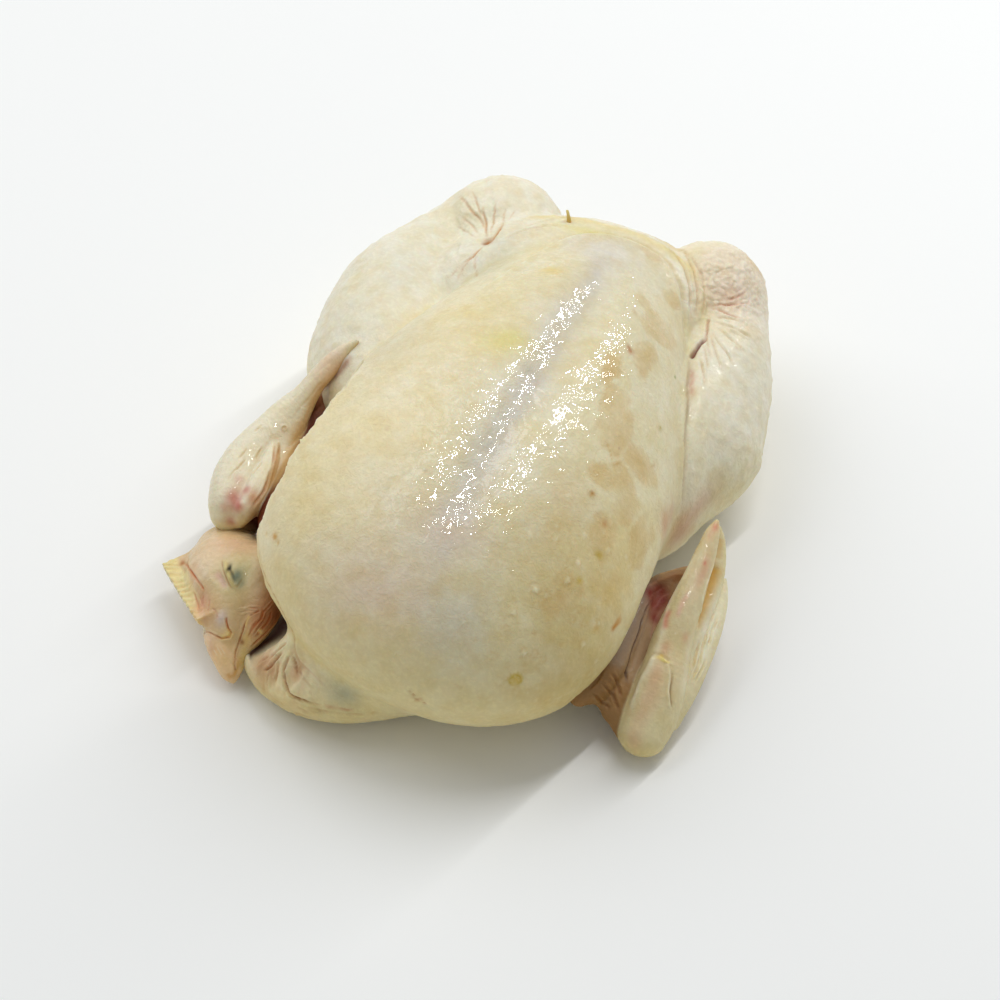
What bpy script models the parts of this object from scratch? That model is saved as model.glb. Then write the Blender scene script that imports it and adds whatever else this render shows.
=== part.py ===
"""Whole raw chicken lying on its back, head and neck folded under its left side.

One soft body: a rolled egg-shaped trunk, two thighs with their drumsticks, two
folded wings, the tail, and the neck that curls back under the head.  Lengths
are in centimetres in the tables of stations and metres in the model.
+Y points toward the tail and +Z up from what it lies on. +X is the bird's own
right, which is the right of someone who stands at its neck end.
"""
import math

import bmesh
import bpy
from mathutils import Euler, Matrix, Vector

CM = 0.01

# ---- trunk: an egg with its blunt end at the neck, rolled a little sideways
TRUNK_CENTRE = (-0.1, 0.2, 4.55)
TRUNK_TURN = (0.5, 12.8, -7.9)        # pitch, roll, yaw in degrees
TRUNK_FRONT = 10.35                   # centre to the neck end
TRUNK_REAR = 12.65                    # centre to the tail end
TRUNK_HALF_WIDTH = 6.7
TRUNK_TAPER = -0.35                   # width change toward the tail
TRUNK_TAPER_2 = 0.08
TRUNK_SKEW = -0.29
TRUNK_TOP = 5.24
TRUNK_TOP_TAPER = -0.06
TRUNK_BOTTOM = 5.0
KEEL_VALLEY_DEPTH = 0.30
KEEL_VALLEY_HALF_WIDTH = 0.75

# ---- balls: centre, radii, turn (degrees)
BELLY_FLAP = ((-0.5, 9.3, 4.9), (5.6, 3.7, 2.8), (0, 0, 10.8))
LEFT_THIGH = ((-6.3, 5.6, 3.3), (2.9, 5.1, 3.5), (0, 10, 14))
RIGHT_THIGH = ((5.2, 4.9, 2.9), (2.1, 5.1, 3.1), (0, 0, -2))
NAPE = ((-7.2, -5.4, 2.1), (1.1, 1.6, 1.25), (0, 0, 12))
EYE_SOCKET = ((-8.0, -5.75, 2.75), (0.5, 0.72, 0.5), (0, 0, 12))
NECK_ROOT = ((-5.7, -6.4, 1.2), (1.3, 1.5, 1.3), (0, 0, 0))

# ---- limbs: stations from root to tip, each (x, y, z, half width, half depth)
LEFT_DRUMSTICK = [(-6.8, 5.1, 3.4, 2.2, 2.2), (-6.6, 8.6, 3.9, 2.25, 2.25),
                  (-5.4, 11.4, 4.3, 1.95, 1.95), (-4.1, 12.2, 4.5, 2.5, 2.5)]
RIGHT_DRUMSTICK = [(6.1, 5.5, 2.9, 2.25, 2.25), (5.8, 8.2, 3.5, 2.1, 2.1),
                   (5.2, 10.5, 3.9, 1.9, 1.9), (4.45, 11.8, 4.3, 2.25, 2.25)]
TAIL = [(0.9, 10.6, 3.0, 2.0, 1.6), (1.1, 12.4, 2.9, 1.5, 1.1), (1.2, 13.7, 3.1, 1.0, 0.75)]
NECK = [(-1.1, -6.7, 2.6, 2.5, 2.5), (-2.3, -7.8, 2.0, 1.9, 1.9), (-3.6, -8.35, 1.6, 1.6, 1.6),
        (-4.9, -8.4, 1.3, 1.3, 1.25), (-5.75, -8.1, 1.1, 1.1, 1.0), (-6.4, -7.6, 0.9, 0.9, 0.8),
        (-6.9, -6.9, 0.9, 0.9, 0.8), (-7.0, -6.2, 1.0, 1.0, 0.85), (-6.8, -5.4, 1.3, 1.3, 1.0)]
FACE = [(-9.17, -4.0, 1.75, 1.2, 0.9), (-8.6, -5.2, 1.95, 1.6, 1.22), (-8.0, -6.2, 1.85, 1.28, 1.2),
        (-7.72, -6.95, 1.6, 1.1, 1.05), (-7.6, -7.6, 1.25, 0.88, 0.85), (-7.45, -8.15, 0.95, 0.62, 0.6),
        (-7.32, -8.5, 0.68, 0.4, 0.4)]
JAW = [(-6.9, -5.9, 2.5, 0.75, 0.75), (-6.62, -6.6, 2.35, 0.72, 0.72), (-6.6, -7.2, 2.1, 0.52, 0.52),
       (-6.75, -7.75, 1.7, 0.32, 0.32), (-6.95, -8.2, 1.2, 0.25, 0.25)]
COMB = [(-10.2, -4.7, 2.0, 0.35, 0.22), (-10.5, -5.35, 1.85, 0.75, 0.24), (-9.95, -6.0, 1.85, 0.75, 0.24),
        (-9.3, -6.75, 1.8, 0.6, 0.22), (-8.65, -7.5, 1.7, 0.35, 0.2)]
RIGHT_UPPER_WING = [(5.3, -5.6, 1.9, 1.1, 1.1), (5.9, -3.8, 1.7, 1.1, 1.1),
                    (6.2, -1.7, 1.5, 1.0, 1.0), (6.4, -0.5, 1.4, 0.8, 0.8)]
RIGHT_FOREARM = [(6.6, -0.3, 1.4, 0.75, 0.75), (6.8, -1.9, 1.2, 0.95, 0.95),
                 (7.1, -4.1, 1.1, 0.95, 0.95), (7.4, -6.4, 0.95, 0.85, 0.85)]
RIGHT_WEB = [(4.3, -6.6, 2.3, 0.5, 0.25), (5.5, -6.15, 1.75, 0.7, 0.25), (6.25, -5.95, 1.4, 0.75, 0.25),
             (6.85, -6.2, 1.15, 0.7, 0.3), (7.2, -6.7, 1.0, 0.5, 0.35)]
RIGHT_HAND = [(7.5, -6.6, 0.95, 0.95, 0.85), (7.6, -5.6, 1.35, 1.05, 0.85), (7.65, -4.5, 1.8, 1.0, 0.75),
              (7.65, -3.6, 2.25, 0.8, 0.65), (7.65, -2.65, 2.65, 0.72, 0.58), (7.7, -1.7, 3.0, 0.6, 0.5),
              (7.75, -0.85, 3.35, 0.46, 0.4), (7.85, -0.1, 3.65, 0.36, 0.32), (7.9, 0.5, 3.9, 0.24, 0.22)]
RIGHT_THUMB = [(7.5, -6.7, 1.25, 0.6, 0.5), (7.6, -5.9, 1.8, 0.6, 0.45), (7.65, -5.2, 2.25, 0.52, 0.36)]
RIGHT_TRAILING_SKIN = [(8.1, -5.8, 0.8, 0.7, 0.45), (8.3, -4.6, 1.15, 0.85, 0.42), (8.3, -3.2, 1.55, 0.9, 0.36),
                       (8.25, -2.0, 1.9, 0.85, 0.32), (8.25, -0.9, 2.2, 0.65, 0.26), (8.25, -0.1, 2.45, 0.35, 0.2)]
LEFT_UPPER_WING = [(-7.1, -3.6, 3.2, 0.9, 0.9), (-7.3, -1.8, 2.8, 1.3, 1.3), (-7.8, 0.8, 2.7, 1.1, 1.1),
                   (-7.9, 1.8, 2.9, 1.1, 1.1), (-7.7, 2.9, 3.4, 0.9, 0.9)]
LEFT_FOREARM = [(-8.5, 1.7, 2.6, 0.7, 0.7), (-8.7, 0.7, 2.4, 0.9, 0.8), (-8.9, -1.1, 2.3, 0.9, 0.9),
                (-9.1, -2.8, 2.3, 0.85, 0.85)]
LEFT_HAND = [(-9.36, -3.3, 2.95, 0.72, 0.75), (-9.36, -2.97, 3.15, 0.88, 0.85), (-9.4, -2.08, 3.3, 1.04, 0.86),
             (-9.38, -1.05, 3.5, 0.95, 0.8), (-9.01, 0.07, 3.8, 0.8, 0.7), (-8.68, 1.02, 4.15, 0.62, 0.58),
             (-8.36, 1.54, 4.5, 0.46, 0.46), (-8.04, 2.0, 4.9, 0.4, 0.38), (-7.61, 2.68, 5.4, 0.4, 0.32),
             (-7.25, 3.1, 5.8, 0.3, 0.25), (-6.95, 3.33, 6.1, 0.2, 0.2)]
LEFT_THUMB = [(-8.91, -3.6, 3.1, 0.4, 0.35), (-8.65, -3.32, 3.45, 0.46, 0.42), (-8.48, -2.73, 3.7, 0.48, 0.42),
              (-8.44, -2.02, 3.9, 0.42, 0.36), (-8.49, -1.18, 4.0, 0.3, 0.26)]
# the flat of each wing faces up and toward the neck end
RIGHT_WING_BREADTH = (0.97, 0.06, -0.23)
LEFT_WING_BREADTH = (0.90, -0.17, -0.40)
WEB_BREADTH = (-0.1, 0.9, 0.4)
FACE_BREADTH = (0.93, 0.38, 0.05)
COMB_BREADTH = (0.75, 0.6, 0.25)
LEVEL = (1.0, 0.0, 0.0)

# ---- finish
SKIN_GRID = 0.0020                    # the masses are fused on this grid
FUSE_STEPS = 9
KEPT_FACES = 9400                     # triangles left in the finished body
RING_POINTS = 24
SKIN_COLOUR = (0.72, 0.60, 0.42, 1.0)


def matrix_of(centre, turn):
    """Placement of a mass: its centre in centimetres and its turn in degrees."""
    angles = Euler([math.radians(a) for a in turn], "XYZ")
    return Matrix.Translation(Vector(centre)) @ angles.to_matrix().to_4x4()


def add_ball(bm, centre, radii, turn):
    """An ellipsoid."""
    placed = matrix_of(centre, turn) @ Matrix.Diagonal((*radii, 1.0))
    bmesh.ops.create_uvsphere(bm, u_segments=32, v_segments=20, radius=1.0, matrix=placed)


def add_trunk(bm):
    """The egg: a sphere whose sections taper toward the tail, with the keel's shallow valley."""
    made = bmesh.ops.create_uvsphere(bm, u_segments=96, v_segments=64, radius=1.0,
                                     matrix=Euler((math.radians(90), 0, 0)).to_matrix().to_4x4())
    place = matrix_of(TRUNK_CENTRE, TRUNK_TURN)
    for vert in made["verts"]:
        u, v, w = vert.co
        width = TRUNK_HALF_WIDTH * (1 + TRUNK_TAPER * v + TRUNK_TAPER_2 * v * v)
        height = TRUNK_TOP * (1 + TRUNK_TOP_TAPER * v) if w > 0 else TRUNK_BOTTOM
        x = u * width + TRUNK_SKEW * v
        y = v * (TRUNK_FRONT if v < 0 else TRUNK_REAR)
        along = min(max((y + 7.0) / 4.0, 0.0), 1.0) * min(max((8.5 - y) / 3.0, 0.0), 1.0)
        upper = min(max((w * height - 1.0) / 2.0, 0.0), 1.0)
        valley = KEEL_VALLEY_DEPTH * math.exp(-(u * width / KEEL_VALLEY_HALF_WIDTH) ** 2)
        vert.co = place @ Vector((x, y, w * height - valley * along * upper))


def through(stations, steps):
    """Smooth curve through the stations (Catmull-Rom), as rows of the same numbers."""
    rows = [Vector(s) for s in stations]
    rows = [2 * rows[0] - rows[1]] + rows + [2 * rows[-1] - rows[-2]]
    out = []
    for i in range(1, len(rows) - 2):
        a, b, c, d = rows[i - 1:i + 3]
        for k in range(steps):
            t = k / steps
            out.append(0.5 * (2 * b + (c - a) * t + (2 * a - 5 * b + 4 * c - d) * t * t
                              + (3 * b - a - 3 * c + d) * t ** 3))
    out.append(rows[-2])
    return out


def add_limb(bm, stations, breadth=LEVEL, steps=4):
    """A loft of elliptical rings along the stations, rounded off at both ends."""
    rows = through(stations, steps)
    centres = [Vector(r[:3]) for r in rows]
    rings = []
    count = len(rows)
    for i, row in enumerate(rows):
        axis = (centres[min(i + 1, count - 1)] - centres[max(i - 1, 0)]).normalized()
        side = Vector(breadth)
        side = (side - axis * side.dot(axis)).normalized()
        wide, deep = max(row[3], 0.08), max(row[4], 0.08)
        shrink = [(0.0, 1.0)]
        if i in (0, count - 1):
            shrink = [(math.sin(a), math.cos(a)) for a in (0.0, 0.5, 1.0, 1.35)]
            if i == 0:
                shrink = [(-push, keep) for push, keep in reversed(shrink)]
        for push, keep in shrink:
            centre = centres[i] + axis * push * min(wide, deep)
            frame = Matrix((side * wide * keep, axis.cross(side) * deep * keep, axis)).transposed()
            rings.append(Matrix.Translation(centre) @ frame.to_4x4())
    loops = []
    for n, placed in enumerate(rings):
        ends = n in (0, len(rings) - 1)
        ring = bmesh.ops.create_circle(bm, cap_ends=ends, segments=RING_POINTS, radius=1.0, matrix=placed)
        loops.append([e for e in {e for v in ring["verts"] for e in v.link_edges}])
    for first, second in zip(loops, loops[1:]):
        bmesh.ops.bridge_loops(bm, edges=first + second)


def all_masses():
    """Every mass as a closed shell in one mesh, overlapping its neighbours."""
    bm = bmesh.new()
    add_trunk(bm)
    for ball in (BELLY_FLAP, LEFT_THIGH, RIGHT_THIGH, NAPE, EYE_SOCKET, NECK_ROOT):
        add_ball(bm, *ball)
    for stations in (LEFT_DRUMSTICK, RIGHT_DRUMSTICK, TAIL, NECK, JAW,
                     RIGHT_UPPER_WING, RIGHT_FOREARM, LEFT_UPPER_WING):
        add_limb(bm, stations)
    add_limb(bm, FACE, FACE_BREADTH)
    add_limb(bm, COMB, COMB_BREADTH)
    add_limb(bm, RIGHT_WEB, WEB_BREADTH)
    for stations in (RIGHT_HAND, RIGHT_THUMB, RIGHT_TRAILING_SKIN):
        add_limb(bm, stations, RIGHT_WING_BREADTH)
    for stations in (LEFT_FOREARM, LEFT_HAND, LEFT_THUMB):
        add_limb(bm, stations, LEFT_WING_BREADTH)
    bmesh.ops.scale(bm, vec=(CM, CM, CM), verts=bm.verts)
    bmesh.ops.recalc_face_normals(bm, faces=bm.faces)
    mesh = bpy.data.meshes.new("masses")
    bm.to_mesh(mesh)
    bm.free()
    return mesh


def evaluated(obj):
    """The object's shape with its modifiers, as a mesh of its own."""
    graph = bpy.context.evaluated_depsgraph_get()
    return bpy.data.meshes.new_from_object(obj.evaluated_get(graph), depsgraph=graph)


def fused_body(collection):
    """The masses fused into one skin, softened where they meet."""
    guide = bpy.data.objects.new("masses_guide", all_masses())
    collection.objects.link(guide)
    guide.hide_render = True
    guide.display_type = "WIRE"
    fuse = guide.modifiers.new("fuse", "REMESH")
    fuse.mode = "VOXEL"
    fuse.voxel_size = SKIN_GRID
    soften = guide.modifiers.new("soften", "SMOOTH")
    soften.factor = 0.5
    soften.iterations = FUSE_STEPS
    mesh = evaluated(guide)
    bpy.data.objects.remove(guide)
    return mesh


def press_flat(mesh):
    """Cut the underside level with the plate, as the soft bird settles on it, and cap the cuts."""
    bm = bmesh.new()
    bm.from_mesh(mesh)
    geom = list(bm.verts) + list(bm.edges) + list(bm.faces)
    bmesh.ops.bisect_plane(bm, geom=geom, plane_co=(0, 0, 0), plane_no=(0, 0, 1), clear_inner=True)
    rim = [e for e in bm.edges if e.is_boundary]
    bmesh.ops.holes_fill(bm, edges=rim, sides=0)
    bmesh.ops.triangulate(bm, faces=bm.faces)
    bmesh.ops.remove_doubles(bm, verts=bm.verts, dist=0.00002)
    # the largest connected skin is the bird
    left = set(bm.verts)
    islands = []
    while left:
        stack = [left.pop()]
        island = set(stack)
        while stack:
            for e in stack.pop().link_edges:
                for v in e.verts:
                    if v in left:
                        left.discard(v)
                        island.add(v)
                        stack.append(v)
        islands.append(island)
    islands.sort(key=len, reverse=True)
    for stray in islands[1:]:
        bmesh.ops.delete(bm, geom=list(stray), context="VERTS")
    bm.to_mesh(mesh)
    bm.free()


def thin_out(mesh, collection):
    """Fewer, larger facets where the skin is smooth."""
    guide = bpy.data.objects.new("thin_guide", mesh)
    collection.objects.link(guide)
    reduce = guide.modifiers.new("reduce", "DECIMATE")
    reduce.ratio = KEPT_FACES / len(mesh.polygons)
    reduce.use_collapse_triangulate = True
    out = evaluated(guide)
    bpy.data.objects.remove(guide)
    return out


def centre_plan(mesh):
    """Put the middle of the plan box at the origin; the flat patches stay at z = 0."""
    bm = bmesh.new()
    bm.from_mesh(mesh)
    xs = [v.co.x for v in bm.verts]
    ys = [v.co.y for v in bm.verts]
    middle = Vector(((min(xs) + max(xs)) / 2, (min(ys) + max(ys)) / 2, 0.0))
    for v in bm.verts:
        v.co -= middle
        if abs(v.co.z) < 0.0004:
            v.co.z = 0.0
    bmesh.ops.dissolve_degenerate(bm, dist=0.00001, edges=bm.edges)
    bmesh.ops.triangulate(bm, faces=bm.faces)
    bmesh.ops.recalc_face_normals(bm, faces=bm.faces)
    bm.to_mesh(mesh)
    bm.free()


def skin_material():
    mat = bpy.data.materials.new("raw_skin")
    mat.use_nodes = True
    shader = mat.node_tree.nodes["Principled BSDF"]
    shader.inputs["Base Color"].default_value = SKIN_COLOUR
    shader.inputs["Roughness"].default_value = 0.38
    shader.inputs["Metallic"].default_value = 0.0
    mat.diffuse_color = SKIN_COLOUR
    return mat


def main():
    for obj in list(bpy.data.objects):
        bpy.data.objects.remove(obj)
    bird = bpy.data.collections.new("whole_chicken")
    guides = bpy.data.collections.new("guides")
    bpy.context.scene.collection.children.link(bird)
    bpy.context.scene.collection.children.link(guides)
    mesh = fused_body(guides)
    press_flat(mesh)
    mesh = thin_out(mesh, guides)
    centre_plan(mesh)
    mesh.name = "chicken"
    mesh.materials.clear()
    mesh.materials.append(skin_material())
    mesh.shade_smooth()
    chicken = bpy.data.objects.new("chicken", mesh)
    bird.objects.link(chicken)


main()
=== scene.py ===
"""A whole raw chicken lying on its back, its neck curled round and the head beside its left wing.

The bird is modelled as soft masses that run into each other: each piece is the surface where a distance
field is zero, meshed, refined where the skin is finely folded, and then given its creases, bumps and
colours.  Lengths are centimetres until a mesh is made.  +Y points to the tail, +Z up, and +X to the
bird's own right, which is the right of someone who stands at its neck end.
"""
import math

import bpy
import numpy as np
from mathutils import Matrix, Vector


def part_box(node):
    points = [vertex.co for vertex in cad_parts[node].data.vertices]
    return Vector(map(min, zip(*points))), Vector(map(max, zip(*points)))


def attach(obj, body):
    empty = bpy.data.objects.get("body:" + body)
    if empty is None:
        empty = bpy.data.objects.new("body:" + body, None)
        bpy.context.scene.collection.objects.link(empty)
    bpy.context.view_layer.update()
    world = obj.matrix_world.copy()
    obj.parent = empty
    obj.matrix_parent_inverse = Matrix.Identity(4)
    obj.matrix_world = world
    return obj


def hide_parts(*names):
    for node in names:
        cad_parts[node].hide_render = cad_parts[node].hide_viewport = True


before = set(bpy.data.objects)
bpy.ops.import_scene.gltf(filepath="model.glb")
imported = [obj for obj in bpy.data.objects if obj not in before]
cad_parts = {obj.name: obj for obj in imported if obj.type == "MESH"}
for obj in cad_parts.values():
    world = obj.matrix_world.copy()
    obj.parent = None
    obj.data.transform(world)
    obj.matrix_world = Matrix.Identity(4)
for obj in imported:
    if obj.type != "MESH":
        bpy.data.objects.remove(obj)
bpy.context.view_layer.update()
BODY = "root"
CM = 0.01
CHICKEN_LOW, CHICKEN_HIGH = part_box("chicken")
# The script's own measures start at the keel's foot, this far from the middle of the plan box.
KEEL_FROM_MIDDLE = (0.98, -2.23)
UP = (0, 0, 1)
KEEL_FOOT = Vector(((CHICKEN_LOW.x + CHICKEN_HIGH.x) / 2 + KEEL_FROM_MIDDLE[0] * CM,
                    (CHICKEN_LOW.y + CHICKEN_HIGH.y) / 2 + KEEL_FROM_MIDDLE[1] * CM, CHICKEN_LOW.z))


# ================================================================ vectors and noise
def unit(v):
    v = np.asarray(v, float)
    return v / np.linalg.norm(v)


def turned(x=0, y=0, z=0):
    """Matrix that turns by x, then y, then z degrees."""
    return np.array(Matrix.Rotation(math.radians(z), 3, "Z") @ Matrix.Rotation(math.radians(y), 3, "Y")
                    @ Matrix.Rotation(math.radians(x), 3, "X"))


def ease(x):
    """0 below 0, 1 above 1, smooth between."""
    x = np.clip(x, 0, 1)
    return x * x * (3 - 2 * x)


def bell(x):
    """1 at 0, falling away smoothly on each side to almost nothing at 2."""
    return np.exp(-x ** 2)


def scramble(ix, iy, iz, seed):
    """An even random number from 0 to 1 for each whole-numbered place."""
    h = (ix * 374761393 + iy * 668265263 + iz * 1440662683 + seed * 974634777) & 0xFFFFFFFF
    h = ((h ^ (h >> 13)) * 1274126177) & 0xFFFFFFFF
    h = ((h ^ (h >> 16)) * 2246822519) & 0xFFFFFFFF
    return ((h ^ (h >> 15)) & 0xFFFFFF) / 0xFFFFFF


def noise(p, size, seed=0):
    """Smooth noise from -1 to 1, with lumps about size across."""
    q = np.asarray(p) / size
    base = np.floor(q).astype(np.int64)
    w = ease(q - base)
    total = 0
    for corner in np.ndindex(2, 2, 2):
        share = np.prod([w[:, k] if c else 1 - w[:, k] for k, c in enumerate(corner)], axis=0)
        total = total + share * scramble(*(base[:, k] + c for k, c in enumerate(corner)), seed)
    return total * 2 - 1


def rough(p, size, octaves=3, seed=0):
    """Noise with finer and weaker noise added, octave by octave."""
    return sum(noise(p, size / 2 ** k, seed + 17 * k) / 2 ** k for k in range(octaves)) / 1.6


def drift(p, size, seed, octaves=0):
    """A smooth random shift from -1 to 1 in x, y and z for each point; with octaves, a rough one."""
    seeds = range(seed, seed + 3)
    if octaves:
        return np.stack([rough(p, size, octaves, k) for k in seeds], 1)
    return np.stack([noise(p, size, k) for k in seeds], 1)


def nearest_seeds(p, size, seed=0):
    """Distances to the nearest and second nearest of the points strewn one to each cube of side size,
    in units of size, and a random number that belongs to the nearest."""
    q = np.asarray(p) / size
    base = np.floor(q).astype(np.int64)
    first = np.full(len(q), 9.0)
    second = np.full(len(q), 9.0)
    lot = np.zeros(len(q))
    for step in np.ndindex(3, 3, 3):
        cell = base + np.array(step) - 1
        x, y, z = cell.T
        spot = cell + np.stack([scramble(x, y, z, seed + k) for k in (1, 2, 3)], 1)
        d = np.linalg.norm(q - spot, axis=1)
        closer = d < first
        second = np.where(closer, first, np.minimum(second, d))
        lot = np.where(closer, scramble(x, y, z, seed + 4), lot)
        first = np.where(closer, d, first)
    return first, second, lot


# ================================================================ distance fields
FAR = 4.0                             # the distance given to points that a field doesn't look at
THINNEST = 0.05                       # half width of a limb at least


def join(a, b, k):
    """Union of two fields, run together over k."""
    h = np.maximum(k - np.abs(a - b), 0) / k
    return np.minimum(a, b) - h * h * k / 4


def joined(first, *others):
    """Union of a field and of others given as (field, k), each run into those before it over its k."""
    for other, k in others:
        first = join(first, other, k)
    return first


def cut(a, b, k):
    """The first field without the second, the edge rounded over k."""
    return -join(-a, b, k)


def ball(p, centre, radii, turn=(0, 0, 0)):
    """Distance to an ellipsoid."""
    q = (p - np.asarray(centre)) @ turned(*turn)
    r = np.asarray(radii, float)
    k0 = np.sqrt(((q / r) ** 2).sum(1))
    k1 = np.sqrt(((q / (r * r)) ** 2).sum(1))
    return k0 * (k0 - 1) / np.maximum(k1, 1e-6)


def flowing(stations, count):
    """Rows spaced evenly along the smooth curve through the stations."""
    rows = np.asarray(stations, float)
    last = len(rows) - 1
    ends = np.vstack([2 * rows[0] - rows[1], rows, 2 * rows[-1] - rows[-2]])
    t = np.linspace(0, last, count)
    i = np.minimum(t.astype(int), last - 1)
    u = (t - i)[:, None]
    a, b, c, d = ends[i], ends[i + 1], ends[i + 2], ends[i + 3]
    return 0.5 * (2 * b + (c - a) * u + (2 * a - 5 * b + 4 * c - d) * u ** 2
                  + (3 * b - a - 3 * c + d) * u ** 3)


def limb(p, stations, wide=(0, 0, 1), parts=5):
    """Distance to a limb through stations of (x, y, z, half width, half depth); wide is its broad way."""
    rows = np.array([s if len(s) == 5 else (*s, s[3]) for s in stations], float)
    rows = flowing(rows, parts * (len(rows) - 1) + 1)
    rows[:, 3:] = np.maximum(rows[:, 3:], THINNEST)
    out = np.full(len(p), FAR)
    for a, b in zip(rows[:-1], rows[1:]):
        axis = b[:3] - a[:3]
        t = np.clip((p - a[:3]) @ axis / (axis @ axis), 0, 1)
        q = p - a[:3] - t[:, None] * axis
        along = unit(axis)
        side = unit(np.asarray(wide) - (np.asarray(wide) @ along) * along)
        thin = np.cross(along, side)
        rw = a[3] + t * (b[3] - a[3])
        rt = a[4] + t * (b[4] - a[4])
        end = np.minimum(rw, rt)
        x, y, z = q @ side, q @ thin, q @ along
        k0 = np.sqrt((x / rw) ** 2 + (y / rt) ** 2 + (z / end) ** 2)
        k1 = np.sqrt((x / rw ** 2) ** 2 + (y / rt ** 2) ** 2 + (z / end ** 2) ** 2)
        out = np.minimum(out, k0 * (k0 - 1) / np.maximum(k1, 1e-6))
    return out


def plate(p, corners, half_thickness, rounding=0.12):
    """Distance to a flat plate with the given corners, its edges rounded."""
    corners = np.asarray(corners, float)
    middle = corners.mean(0)
    normal = unit(np.cross(corners[1] - corners[0], corners[-1] - corners[0]))
    out = np.abs((p - middle) @ normal) - half_thickness
    for a, b in zip(corners, np.roll(corners, -1, 0)):
        outward = unit(np.cross(b - a, normal))
        outward = outward * np.sign(outward @ ((a + b) / 2 - middle))
        out = cut(out, (a - p) @ outward, rounding)
    return out


def only_near(p, field, low, high, margin=1.6):
    """The field where p is near the box from low to high, and FAR elsewhere, which saves work."""
    close = ((p > np.asarray(low) - margin) & (p < np.asarray(high) + margin)).all(1)
    out = np.full(len(p), FAR)
    if close.any():
        out[close] = field(p[close])
    return out


# ================================================================ the bird's masses
# ---- trunk: an egg, blunt at the neck end and rolled a little to its right
TRUNK_CENTRE = (-0.1, 0.2, 4.55)
TRUNK_TURN = (0.5, 12.8, -7.9)
TRUNK_FRONT, TRUNK_REAR = 10.35, 12.65
TRUNK_HALF_WIDTH, TRUNK_TAPER, TRUNK_TAPER_2 = 6.7, -0.35, 0.08
TRUNK_SKEW, TRUNK_SKEW_2 = -0.29, -0.05
TRUNK_TOP, TRUNK_TOP_TAPER, TRUNK_TOP_TAPER_2 = 5.24, -0.06, -0.03
TRUNK_BOTTOM = 5.0
KEEL_DIP, KEEL_DIP_HALF_WIDTH = 0.30, 0.75


def trunk_coordinates(p):
    """Across, along and up in the trunk's own turned frame, across measured from the keel."""
    u, v, w = ((p - np.asarray(TRUNK_CENTRE)) @ turned(*TRUNK_TURN)).T
    s = np.clip(np.where(v < 0, v / TRUNK_FRONT, v / TRUNK_REAR), -1.4, 1.4)
    return u - TRUNK_SKEW * s - TRUNK_SKEW_2 * s * s, v, w, s


def trunk(p):
    u, v, w, s = trunk_coordinates(p)
    width = TRUNK_HALF_WIDTH * (1 + TRUNK_TAPER * s + TRUNK_TAPER_2 * s * s)
    height = np.where(w > 0, TRUNK_TOP * (1 + TRUNK_TOP_TAPER * s + TRUNK_TOP_TAPER_2 * s * s), TRUNK_BOTTOM)
    length = np.where(v < 0, TRUNK_FRONT, TRUNK_REAR)
    k0 = np.sqrt((u / width) ** 2 + (w / height) ** 2 + (v / length) ** 2)
    k1 = np.sqrt((u / width ** 2) ** 2 + (w / height ** 2) ** 2 + (v / length ** 2) ** 2)
    egg = k0 * (k0 - 1) / np.maximum(k1, 1e-6)
    on_top = np.clip((w - 1) / 2, 0, 1) * np.clip((v + 7) / 4, 0, 1) * np.clip((8.5 - v) / 3, 0, 1)
    return egg + KEEL_DIP * bell(u / KEEL_DIP_HALF_WIDTH) * on_top


def belly_flap(p):
    return ball(p, (-0.5, 9.3, 4.9), (5.6, 3.7, 2.8), (0, 0, 10.8))


def left_leg(p):
    thigh = ball(p, (-6.3, 5.6, 3.3), (2.9, 5.1, 3.5), (0, 10, 14))
    drumstick = limb(p, [(-6.8, 5.1, 3.4, 2.2), (-6.6, 8.6, 3.9, 2.25), (-5.4, 11.4, 4.3, 1.95),
                         (-4.1, 12.2, 4.5, 2.5)], parts=9)
    return join(thigh, drumstick, 1.2)


def right_leg(p):
    thigh = ball(p, (5.2, 4.9, 2.9), (2.1, 5.1, 3.1), (0, 0, -2))
    drumstick = limb(p, [(6.1, 5.5, 2.9, 2.25), (5.8, 8.2, 3.5, 2.1), (5.2, 10.5, 3.9, 1.9),
                         (4.45, 11.8, 4.3, 2.25)], parts=9)
    return join(thigh, drumstick, 1.2)


def tail(p):
    return limb(p, [(0.9, 10.6, 3.0, 2.0, 1.6), (1.1, 12.4, 2.9, 1.5, 1.1), (1.2, 13.7, 3.1, 1.05, 0.75),
                    (1.2, 14.5, 3.3, 0.45, 0.4)], wide=(1, 0, 0))


def neck(p):
    """The neck, bent back under the head, and the skin that hangs from the breast to it."""
    bend = limb(p, [(-1.1, -6.7, 2.6, 2.5), (-2.3, -7.8, 2.0, 1.9), (-3.6, -8.35, 1.6, 1.6),
                    (-4.9, -8.4, 1.3, 1.24), (-5.75, -8.1, 1.1, 1.0), (-6.4, -7.6, 0.9, 0.8),
                    (-6.9, -6.9, 0.9, 0.8), (-7.0, -6.2, 1.0, 0.85), (-6.8, -5.4, 1.3, 1.0)])
    root = ball(p, (-5.7, -6.4, 1.2), (1.3, 1.5, 1.3))
    bridge = limb(p, [(-4.3, -8.0, 3.4, 0.6), (-4.66, -8.34, 2.7, 0.68), (-5.1, -8.47, 2.0, 0.6)])
    return joined(bend, (bridge, 0.6), (root, 0.4))


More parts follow.
